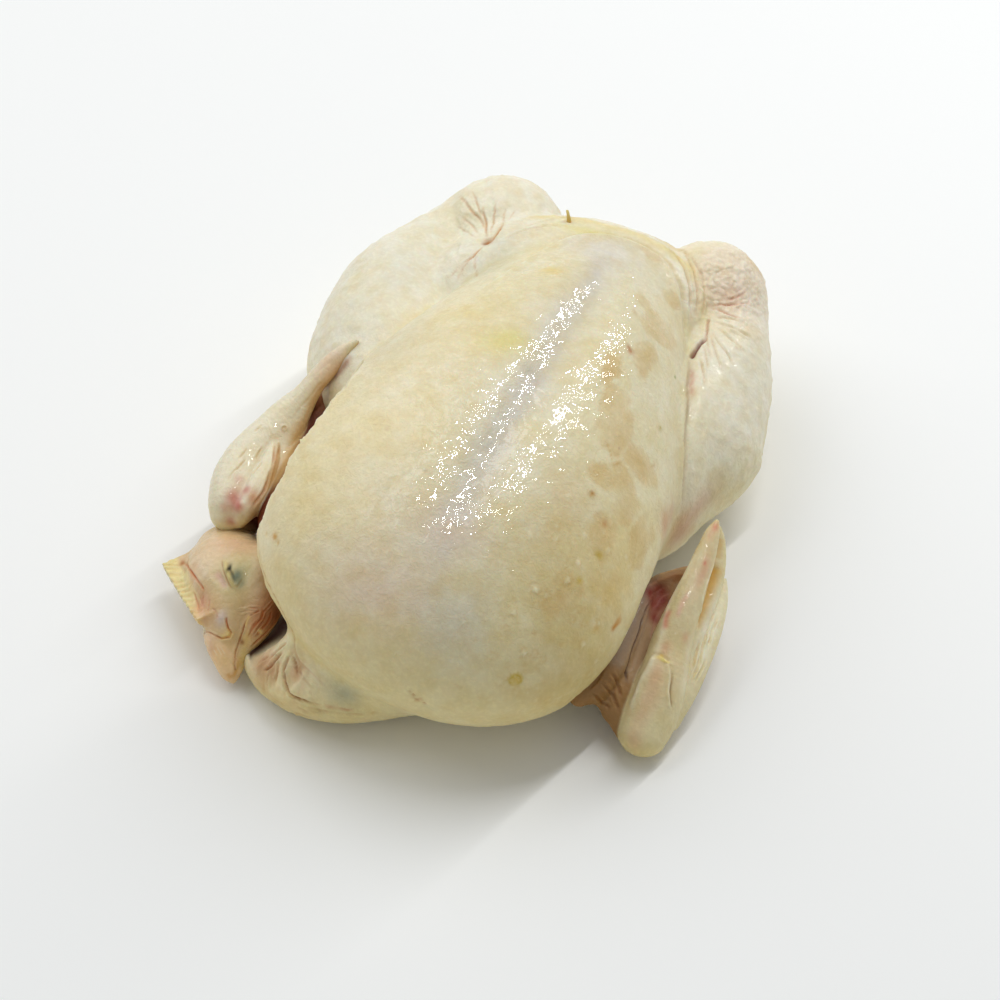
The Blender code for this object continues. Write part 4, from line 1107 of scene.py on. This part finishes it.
def left_hand_skin(s):
    """The bruise and creases of the thumb, the pits of the feathers and the hand's pale edge."""
    for place, size, strength in [
            ((-9.1, -3.3, 3.9), (0.3, 0.35, 0.4), 0.7), ((-8.85, -3.55, 3.75), 0.28, 0.8),
            ((-8.75, -2.95, 4.05), 0.2, 0.7), ((-9.0, -3.95, 3.25), 0.22, 0.7),
            ((-9.35, -3.75, 3.65), 0.2, 0.4), ((-9.15, -2.6, 4.05), 0.2, 0.35)]:
        s.spot(place, size, BRUISE, strength)
    s.spot((-8.35, -3.2, 3.95), (0.2, 0.35, 0.3), (190, 116, 60), 0.7)
    s.spot((-8.65, -3.4, 3.9), 0.13, (240, 232, 214), 0.9)
    s.spot((-8.8, -3.85, 3.35), 0.13, (240, 232, 214), 0.7)
    for places, width, depth, colour, strength in [
            ([(-8.6, -0.35, 4.25), (-8.4, -0.95, 4.2), (-8.25, -1.65, 4.2), (-8.15, -2.25, 4.1),
              (-8.1, -2.75, 3.95), (-8.25, -3.25, 3.8), (-8.45, -3.75, 3.45)], 0.05, 0.05, (196, 136, 90),
              0.65),
            ([(-8.35, -0.35, 3.9), (-8.25, -1.2, 4.15), (-8.1, -2.0, 4.05), (-8.05, -2.65, 3.95)], 0.07,
              0.02, (196, 140, 88), 0.5),
            ([(-9.55, -1.8, 4.25), (-9.45, -1.45, 4.25), (-9.4, -1.15, 4.3)], 0.04, 0.03, TAN, 0.5),
            ([(-9.4, -2.3, 4.15), (-9.35, -2.0, 4.2), (-9.25, -1.65, 4.2)], 0.04, 0.03, TAN, 0.5),
            ([(-9.4, -0.5, 4.4), (-9.3, -0.3, 4.45), (-9.2, -0.1, 4.5)], 0.04, 0.03, TAN, 0.4),
            ([(-8.95, -1.55, 4.1), (-8.95, -1.2, 4.15), (-8.9, -0.9, 4.2)], 0.04, 0.04, TAN, 0.5),
            ([(-8.8, -2.3, 4.1), (-8.7, -2.0, 4.2), (-8.7, -1.6, 4.25)], 0.04, 0.04, TAN, 0.5),
            ([(-9.5, -2.75, 4.1), (-9.45, -2.4, 4.15), (-9.35, -2.1, 4.2)], 0.04, 0.03, TAN, 0.4),
            ([(-9.1, -0.05, 4.5), (-8.85, -0.3, 4.4), (-8.7, -0.4, 4.3)], 0.04, 0.06, OCHRE, 0.7),
            ([(-9.25, -0.15, 4.45), (-9.0, 0.6, 4.6), (-8.6, 1.05, 4.75), (-8.2, 1.6, 5.1),
              (-7.75, 2.3, 5.55), (-7.25, 2.85, 5.9)], 0.05, 0.0, PALE, 0.5),
            ([(-8.4, 0.45, 4.4), (-8.2, 1.05, 4.65), (-7.85, 1.65, 5.0), (-7.5, 2.25, 5.4)], 0.05, 0.01,
              OCHRE, 0.4)]:
        s.line(places, width, depth, lip=0.5, colour=colour, strength=strength)
    s.line([(-8.0, -2.9, 3.7), (-7.95, -1.8, 3.9), (-7.95, -0.8, 3.95), (-8.0, 0.2, 4.0), (-7.9, 1.0, 4.4)],
           0.26, 0.0, colour=(206, 168, 108), strength=0.75)
    ring = np.linalg.norm(s.q - np.array((-8.45, 0.1, 4.35)), axis=1)
    s.h += 0.04 * bell((ring - 0.1) / 0.04)
    s.paint(bell((ring - 0.07) / 0.04) * 0.5, OCHRE)


def left_wing_piece():
    s, quads, loops = piece_surface(left_wing_field, ((-11.4, -6.2, 0.6), (-5.0, 4.6, 7.0)), 0.15,
                                    [above(1.5), above(2.6)], (230, 222, 196), wet=0.35)
    s.h += 0.03 * rough(s.p, 1.2, 2, 13) + 0.010 * rough(s.p, 0.3, 2, 19)
    left_arm_skin(s)
    left_hand_skin(s)
    return make_piece("wing_left", s, quads, loops, flesh("left_wing_skin"))


# ================================================================ head
COMB_OUTWARD = (-0.786, -0.618)       # in plan, across the comb; its root lies COMB_ROOT out that way
COMB_ROOT = 11.5


def comb_and_crown(s):
    """The yellow comb with its fanned ridges, and the creased skin it grows from."""
    out = s.q[:, 0] * COMB_OUTWARD[0] + s.q[:, 1] * COMB_OUTWARD[1] - COMB_ROOT
    along = s.q[:, 1] * COMB_OUTWARD[0] - s.q[:, 0] * COMB_OUTWARD[1]
    comb = ease((out + 0.16 * noise(s.p, 0.7, 62)) / 0.16 + 0.5)
    ridge = np.cos(2 * math.pi * (along + 0.55 * out) / 0.30 + 5.0 * noise(s.p, 0.8, 61))
    s.paint(comb, (236, 218, 156))
    s.paint(comb * np.clip(-ridge, 0, 1) * ease(out / 0.5) * 0.35, (206, 164, 84))
    s.h += comb * ease(out / 0.3) * 0.02 * ridge
    # the comb's outward side low down painted grey: partly grey skin of its underside, partly painted shade
    face_out = s.n[:, 0] * COMB_OUTWARD[0] + s.n[:, 1] * COMB_OUTWARD[1]
    s.paint(comb * ease((face_out - 0.75) / 0.15) * ease((2.1 - s.p[:, 2]) / 0.3) * 0.7, (206, 204, 190))
    s.spot((-8.9, -5.0, 3.1), (1.0, 0.7, 0.8), (230, 202, 172), 0.6)
    s.spot((-9.3, -6.0, 2.8), (0.5, 0.7, 0.5), (236, 216, 188), 0.6)
    s.spot((-9.6, -6.2, 2.5), (0.3, 0.6, 0.4), (232, 190, 156), 0.5)
    s.spot((-8.85, -7.05, 2.25), (0.35, 0.5, 0.4), (206, 138, 106), 0.7)
    s.line([(-10.55, -5.1, 1.75), (-10.0, -5.75, 2.3), (-9.55, -6.25, 2.55), (-9.15, -6.55, 2.6),
            (-8.85, -6.8, 2.55)], 0.055, 0.04, lip=0.3, colour=(200, 106, 30), strength=1.0, fade=0.08)
    s.spot((-10.5, -5.2, 1.75), 0.14, (178, 104, 40), 0.9)
    s.line([(-9.45, -6.6, 2.15), (-9.15, -6.95, 2.1), (-8.8, -7.5, 2.15)], 0.05, 0.04,
           colour=(196, 116, 70), strength=0.7)
    for places in (
            [(-8.9, -6.85, 2.5), (-8.85, -7.05, 2.25), (-8.65, -7.35, 2.25)],
            [(-8.6, -7.05, 2.55), (-8.5, -7.25, 2.4), (-8.5, -7.5, 2.3)],
            [(-9.05, -6.85, 2.3), (-8.8, -7.3, 2.2)]):
        s.line(places, 0.035, 0.02, colour=(190, 110, 84), strength=0.6)


def eye_and_cheek(s):
    """The closed eye in its grey-green bulge, with the folded lids beside it."""
    s.spot((-7.75, -6.1, 3.2), (0.85, 1.1, 0.8), (190, 184, 132), 0.8)
    s.spot((-8.2, -4.8, 3.1), (1.2, 0.6, 0.6), (214, 172, 136), 0.6)
    # painted shade: brown on the side of the head toward the breast's rim
    s.spot((-6.9, -5.9, 3.3), (0.45, 1.2, 0.6), (166, 128, 82), 0.7)
    s.spot((-7.1, -6.8, 2.95), (0.6, 0.5, 0.6), (206, 178, 128), 0.6)
    s.line([(-8.7, -6.1, 3.05), (-8.3, -6.45, 3.05), (-8.0, -6.7, 2.95)], 0.14, 0.03, lip=0.5,
           colour=(214, 166, 156), strength=0.6)
    s.line([(-8.55, -5.55, 3.2), (-8.35, -5.95, 3.2), (-8.05, -6.3, 3.15), (-7.8, -6.55, 3.05),
            (-7.6, -6.65, 2.95)], 0.09, -0.04, colour=(214, 194, 128), strength=0.9)
    s.line([(-8.65, -5.6, 3.15), (-8.45, -6.0, 3.15), (-8.15, -6.35, 3.1), (-7.9, -6.6, 3.0),
            (-7.7, -6.75, 2.95)], 0.03, 0.05, colour=(178, 122, 62), strength=0.8)
    s.line([(-8.35, -5.75, 3.25), (-8.15, -6.05, 3.25), (-7.9, -6.3, 3.2), (-7.7, -6.5, 3.05)], 0.05, 0.07,
           colour=(70, 60, 36), strength=0.8, fade=0.3)
    s.spot((-8.2, -6.0, 3.25), (0.07, 0.16, 0.2), (26, 22, 16), 1.0)
    s.spot((-7.8, -6.2, 3.25), (0.2, 0.26, 0.3), (108, 122, 110), 0.9)
    s.spot((-7.6, -6.4, 3.1), (0.17, 0.2, 0.3), (124, 134, 112), 0.7)
    s.line([(-7.7, -6.65, 3.0), (-7.6, -6.45, 3.1), (-7.6, -6.2, 3.2)], 0.035, 0.03, colour=(176, 140, 80),
           strength=0.7)
    s.spot((-7.9, -7.65, 2.4), (0.22, 0.3, 0.3), (212, 202, 204), 0.8)
    s.swell((-7.9, -7.65, 2.4), 0.22, 0.05)
    s.line([(-8.4, -7.35, 2.45), (-8.15, -7.5, 2.45), (-8.0, -7.75, 2.25)], 0.04, 0.04,
           colour=(200, 130, 104), strength=0.6)


def beak_skin(s):
    """The horny beak with its painted glints and orange border, and the yellow edge of its lower half."""
    beak = ease((-(s.q[:, 1] + 8.05) - 0.35 * (s.q[:, 0] + 8.0)) / 0.1)
    s.paint(beak * 0.9, HORN)
    s.spot((-8.05, -8.35, 1.4), (0.2, 0.4, 0.3), (206, 150, 120), 0.5)
    # painted highlight: thin white glints on the upper beak
    for places in (
            [(-7.85, -8.3, 1.65), (-7.55, -8.55, 1.45)], [(-7.75, -8.3, 1.75), (-7.45, -8.5, 1.5)],
            [(-7.95, -8.4, 1.5), (-7.65, -8.6, 1.35)]):
        s.line(places, 0.02, 0.0, colour=(250, 246, 236), strength=0.9)
    border = [(-8.4, -7.9, 1.65), (-8.25, -7.95, 1.8), (-7.95, -8.1, 1.9), (-7.7, -8.15, 1.9),
              (-7.45, -8.05, 2.0), (-7.4, -7.95, 2.1), (-7.55, -7.85, 2.2), (-7.65, -7.7, 2.35),
              (-7.7, -7.55, 2.45)]
    s.line(border, 0.035, 0.05, lip=0.4, colour=(190, 96, 20), strength=0.9, fade=0.04)
    s.line([(-8.35, -7.9, 1.75), (-8.5, -7.85, 1.35), (-8.35, -8.1, 1.2)], 0.04, 0.04,
           colour=(196, 120, 70), strength=0.8)
    s.spot((-7.5, -8.0, 2.05), (0.14, 0.12, 0.15), (240, 208, 132), 0.9)
    s.spot((-7.65, -8.1, 1.95), 0.08, (240, 208, 132), 0.8)
    s.line([(-6.95, -8.3, 1.45), (-6.95, -8.45, 1.2), (-7.0, -8.7, 0.9), (-7.15, -8.85, 0.8),
            (-7.3, -8.8, 1.0)], 0.09, 0.0, colour=(206, 150, 60), strength=0.8, fade=0.1)
    s.spot((-6.85, -7.9, 2.0), (0.18, 0.3, 0.3), (210, 182, 104), 0.8)
    s.spot((-6.85, -8.3, 1.45), (0.15, 0.4, 0.4), (212, 184, 100), 0.8)
    s.spot((-7.0, -8.0, 1.85), 0.1, (140, 74, 26), 0.9)


def jaw_skin(s):
    """The loose, folded skin of the jaw, painted shade toward the breast's rim, and the line of the mouth.
    """
    jaw = s.around((-6.35, -7.4, 2.6), (0.65, 0.75, 0.8))
    s.paint(jaw * 0.85, (184, 116, 66))
    # painted shade: the jaw darker brown toward the breast's rim
    s.spot((-6.35, -6.5, 3.05), (0.4, 1.0, 0.8), (146, 88, 46), 0.8)
    s.spot((-6.05, -6.95, 2.65), (0.25, 0.6, 0.6), (124, 60, 30), 0.85)
    narrower = 0.75
    for places, width, strength in [
            ([(-6.55, -7.0, 2.95), (-6.45, -7.3, 2.75), (-6.6, -7.6, 2.45), (-6.75, -7.8, 2.15)], 0.045,
              0.8),
            ([(-6.2, -6.95, 2.85), (-6.2, -7.35, 2.55), (-6.35, -7.6, 2.35), (-6.55, -7.85, 2.1)], 0.045,
              0.8),
            ([(-6.0, -6.85, 2.6), (-6.1, -7.3, 2.3), (-6.35, -7.8, 2.05), (-6.65, -8.1, 1.7)], 0.05, 0.8),
            ([(-7.45, -7.3, 2.6), (-7.15, -7.15, 2.65), (-6.8, -7.1, 2.85), (-6.6, -7.15, 2.85)], 0.035,
              0.7),
            ([(-7.3, -7.4, 2.45), (-7.05, -7.25, 2.6), (-6.75, -7.25, 2.75)], 0.03, 0.5),
            ([(-6.35, -7.1, 2.85), (-6.4, -7.45, 2.55), (-6.65, -7.85, 2.1)], 0.03, 0.5),
            ([(-6.55, -7.4, 2.65), (-6.7, -7.65, 2.35), (-6.8, -7.9, 2.0)], 0.035, 0.6),
            ([(-6.2, -6.65, 2.95), (-6.35, -6.95, 2.9), (-6.5, -7.2, 2.8)], 0.035, 0.6)]:
        s.line(places, width * narrower, 0.04, lip=0.7, colour=(186, 96, 30), strength=strength)
    s.line([(-6.85, -7.3, 2.65), (-6.95, -7.45, 2.45), (-7.0, -7.65, 2.2)], 0.06, -0.03,
           colour=(236, 206, 130), strength=0.8)
    s.spot((-6.4, -7.65, 2.3), 0.08, (240, 222, 160), 0.9)
    s.line([(-6.6, -7.15, 2.85), (-6.9, -7.35, 2.55), (-7.05, -7.6, 2.25), (-7.1, -7.95, 1.9),
            (-7.15, -8.3, 1.55), (-7.1, -8.55, 1.25), (-7.0, -8.65, 0.95)], 0.028, 0.05, lip=0.4,
           colour=(176, 88, 16), strength=0.9, fade=0.03)
    s.line([(-7.2, -8.05, 1.9), (-7.25, -8.4, 1.55), (-7.25, -8.65, 1.2)], 0.05, -0.02,
           colour=(240, 214, 180), strength=0.5)


def head_piece():
    s, quads, loops = piece_surface(head_field, ((-12.2, -9.6, -0.4), (-5.4, -2.8, 4.2)), 0.12,
                                    [above(0.7), above(1.4)], (217, 190, 145), wet=0.5)
    s.h += 0.02 * rough(s.p, 0.9, 2, 43) + 0.007 * rough(s.p, 0.25, 2, 47)
    comb_and_crown(s)
    eye_and_cheek(s)
    beak_skin(s)
    jaw_skin(s)
    s.wet = np.clip(s.wet + 0.4 * s.around((-8.24, -7.73, 2.13), (0.6, 0.5, 0.5)), 0, 1)
    s.spot((-8.6, -7.5, 2.2), (0.6, 0.7, 0.6), (216, 160, 108), 0.5)
    s.spot((-7.4, -8.6, 1.4), (0.6, 0.5, 0.5), (250, 212, 156), 0.7)
    return make_piece("head", s, quads, loops, flesh("head_skin"))


def pin_feather_field(p):
    p = np.asarray(p, float)
    return limb(p, [(-1.0, 10.95, 7.1, 0.10, 0.08), (-1.03, 11.05, 7.4, 0.10, 0.08),
                    (-1.08, 11.12, 7.58, 0.09, 0.07), (-1.16, 11.2, 7.74, 0.05, 0.05)])


def pin_feather_piece():
    """The stub of a feather left standing on the fold behind the breast."""
    s, quads, loops = piece_surface(pin_feather_field, ((-1.6, 10.7, 6.9), (-0.7, 11.7, 8.2)), 0.03, [],
                                    (214, 194, 128), wet=0.2)
    s.spot((-1.0, 11.0, 7.2), 0.3, (196, 150, 70), 0.8)
    s.h += 0.008 * np.cos(40 * s.p[:, 0])
    return make_piece("pin_feather", s, quads, loops, flesh("feather_shaft"))


# ================================================================ materials
class Nodes:
    """Short ways to add nodes to a new material and link them."""

    def __init__(self, name):
        self.material = bpy.data.materials.new(name)
        self.material.use_nodes = True
        self.tree = self.material.node_tree
        self.shader = self.tree.nodes["Principled BSDF"]
        self.place = self.add("ShaderNodeTexCoord").outputs["Object"]

    def add(self, kind, inputs=(), **settings):
        """A node with its settings, and its inputs given a value or linked to an output."""
        made = self.tree.nodes.new(kind)
        for key, value in settings.items():
            setattr(made, key, value)
        for key, value in dict(inputs).items():
            self.put(made.inputs[key], value)
        return made

    def put(self, socket, value):
        if isinstance(value, bpy.types.NodeSocket):
            self.tree.links.new(value, socket)
        else:
            socket.default_value = value

    def carried(self, name):
        """What the mesh carries under a name."""
        return self.add("ShaderNodeAttribute", attribute_name=name)

    def noise(self, scale, detail, distortion=0.0):
        return self.add("ShaderNodeTexNoise", {"Scale": scale, "Detail": detail, "Distortion": distortion,
                                               "Vector": self.place}).outputs["Fac"]

    def ramp(self, source, low, high, out_low, out_high):
        """The source's range from low to high, stretched to the range from out_low to out_high."""
        return self.add("ShaderNodeMapRange", {"From Min": low, "From Max": high, "To Min": out_low,
                                               "To Max": out_high, "Value": source}).outputs["Result"]

    def multiply(self, colour, other, share):
        """The colour multiplied by the other, as far as share says."""
        made = self.add("ShaderNodeMix", {"Factor": share}, data_type="RGBA", blend_type="MULTIPLY")
        for name, value in (("A", colour), ("B", other)):
            self.put([i for i in made.inputs if i.name == name and i.type == "RGBA"][0], value)
        return [o for o in made.outputs if o.type == "RGBA"][0]

    def bump(self, height, strength, distance, **under):
        return self.add("ShaderNodeBump", {"Strength": strength, "Distance": distance, "Height": height,
                                           **under}).outputs["Normal"]


def flesh(name):
    """Wet skin over flesh: its tint comes with the mesh, and fine mottling and pores from noise."""
    made = Nodes(name)
    shader = made.shader
    tint = made.carried("tint").outputs["Color"]
    wet = made.carried("wet").outputs["Fac"]
    mottle = made.ramp(made.noise(150, 4), 0.40, 0.70, 0.0, 0.75)
    specks = made.ramp(made.noise(620, 2), 0.45, 0.72, 0.0, 0.9)
    colour = made.multiply(tint, (0.93, 0.89, 0.77, 1), mottle)
    colour = made.multiply(colour, (1.08, 1.09, 1.10, 1), specks)
    made.put(shader.inputs["Base Color"], colour)
    made.put(shader.inputs["Roughness"], made.ramp(wet, 0, 1, 0.50, 0.34))
    made.put(shader.inputs["Coat Weight"], made.ramp(wet, 0.15, 1, 0.0, 0.9))
    for name, value in [
            ("Coat Roughness", 0.02), ("Coat IOR", 1.7), ("IOR", 1.40), ("Specular IOR Level", 0.35),
            ("Subsurface Weight", 0.28), ("Subsurface Radius", (1.0, 0.55, 0.30)),
            ("Subsurface Scale", 0.006)]:
        shader.inputs[name].default_value = value
    pores = made.bump(made.noise(1500, 2), 0.25, 0.0003)
    wrinkles = made.bump(made.noise(420, 3, 1.2), 0.6, 0.0005, Normal=pores)
    film = made.bump(made.noise(165, 2, 1.0), 1.0, 0.0009)
    made.put(shader.inputs["Normal"], wrinkles)
    made.put(shader.inputs["Coat Normal"], film)
    return made.material


def plain(name, colour, roughness):
    material = bpy.data.materials.new(name)
    material.use_nodes = True
    shader = material.node_tree.nodes["Principled BSDF"]
    shader.inputs["Base Color"].default_value = (*colour, 1)
    shader.inputs["Roughness"].default_value = roughness
    return material


# ================================================================ making pieces
def placed(name, data):
    """A new object in the scene."""
    made = bpy.data.objects.new(name, data)
    bpy.context.scene.collection.objects.link(made)
    return made


def piece_surface(field, box, step, levels, colour, wet):
    """The field's surface as a Surface, its quads and its other loops, split where each level says."""
    points, quads = grid_net(field, *box, step)
    loops = []
    for level in levels:
        points = settle(field, points, 2)
        points, quads, loops = split_faces(points, quads, loops, level(points[quads].mean(1)))
    points = settle(field, points, 3)
    return Surface(field, points, colour, wet), quads, loops


# painted shade: skin turned away from the window is tinted darker and yellower
TO_WINDOW = (-0.1, 0.62, 0.78)        # roughly the way to the window
PAINTED_SHADE_LOSS = (0.0, 0.06, 0.28)           # the share of red, green and blue lost by skin turned away from it


def make_piece(name, surface, quads, loops, material):
    """A mesh object from a Surface, in metres in the CAD's frame, riding on the bird's one body."""
    # painted shade: darker and yellower on skin turned away from the window
    away = ease(0.35 - surface.n @ np.array(TO_WINDOW))[:, None]
    surface.tint *= 1 - away * np.array(PAINTED_SHADE_LOSS)
    points = (surface.p + surface.n * surface.h[:, None]) * CM + np.array(KEEL_FOOT)
    points[:, 2] = np.maximum(points[:, 2], CHICKEN_LOW.z)
    mesh = bpy.data.meshes.new(name)
    mesh.from_pydata(points.tolist(), [], quads.tolist() + [list(map(int, loop)) for loop in loops])
    mesh.shade_smooth()
    tint = mesh.color_attributes.new("tint", "FLOAT_COLOR", "POINT")
    rgba = np.column_stack([surface.tint, np.ones(len(points))])
    tint.data.foreach_set("color", rgba.astype(np.float32).ravel())
    wet = mesh.attributes.new("wet", "FLOAT", "POINT")
    wet.data.foreach_set("value", surface.wet.astype(np.float32))
    mesh.materials.append(material)
    made = placed(name, mesh)
    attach(made, BODY)
    print(name, "triangles", 2 * len(quads) + sum(len(loop) - 2 for loop in loops))
    return made


# ================================================================ stage
CAMERA_TURN, CAMERA_ELEVATION = 19.0, 48.0
CAMERA_DISTANCE = 1.107               # metres
CAMERA_LENS, SENSOR_WIDTH = 104.5, 36.0   # millimetres
AIM = (-1.03, 3.0, 0.0)               # where the camera looks, from the keel's foot, in centimetres
LIGHT_AIM = (0, 0, 6)
FLOOR_HALF_WIDTH = 6.0                # metres


def direction(turn, elevation):
    """Unit vector to something seen from the bird: turn 0 is in front of the neck end, 90 to its right."""
    a, e = math.radians(turn), math.radians(elevation)
    return Vector((math.sin(a) * math.cos(e), -math.cos(a) * math.cos(e), math.sin(e)))


def look_from(made, way, distance, target):
    """Puts a camera or light at a distance from the target, that way from it, and turns it there."""
    made.location = target + way * distance
    made.rotation_euler = way.to_track_quat("Z", "Y").to_euler()


def add_camera():
    data = bpy.data.cameras.new("camera")
    data.lens = CAMERA_LENS
    data.sensor_width = SENSOR_WIDTH
    camera = placed("camera", data)
    way = direction(CAMERA_TURN, CAMERA_ELEVATION)
    look_from(camera, way, CAMERA_DISTANCE, KEEL_FOOT + Vector(AIM) * CM)
    bpy.context.scene.camera = camera


def add_light(name, turn, elevation, distance, width, height, power):
    data = bpy.data.lights.new(name, "AREA")
    data.shape = "RECTANGLE"
    data.size = width
    data.size_y = height
    data.energy = power
    look_from(placed(name, data), direction(turn, elevation), distance, KEEL_FOOT + Vector(LIGHT_AIM) * CM)


def add_floor():
    mesh = bpy.data.meshes.new("floor")
    half, level = FLOOR_HALF_WIDTH, CHICKEN_LOW.z
    corners = [(-half, -half, level), (half, -half, level), (half, half, level), (-half, half, level)]
    mesh.from_pydata(corners, [], [(0, 1, 2, 3)])
    mesh.materials.append(plain("floor_paper", (0.95, 0.955, 0.95), 0.6))
    floor = placed("floor", mesh)


def add_world():
    world = bpy.data.worlds.new("studio")
    world.use_nodes = True
    background = world.node_tree.nodes["Background"]
    background.inputs["Color"].default_value = (0.97, 1.0, 1.0, 1)
    background.inputs["Strength"].default_value = 0.36
    bpy.context.scene.world = world


def add_stage():
    """White paper under the bird, a long narrow window behind it and a soft light from its left."""
    add_floor()
    add_world()
    add_light("window", turn=155, elevation=55, distance=1.3, width=0.045, height=1.7, power=9.0)
    add_light("fill", turn=-110, elevation=45, distance=2.0, width=2.0, height=2.0, power=18.0)
    bpy.context.scene.view_settings.view_transform = "Standard"


# ================================================================ build
skin = skin_piece()
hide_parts("chicken")
head_piece()
left_wing_piece()
right_wing_piece()
pin_feather_piece()
add_camera()
add_stage()
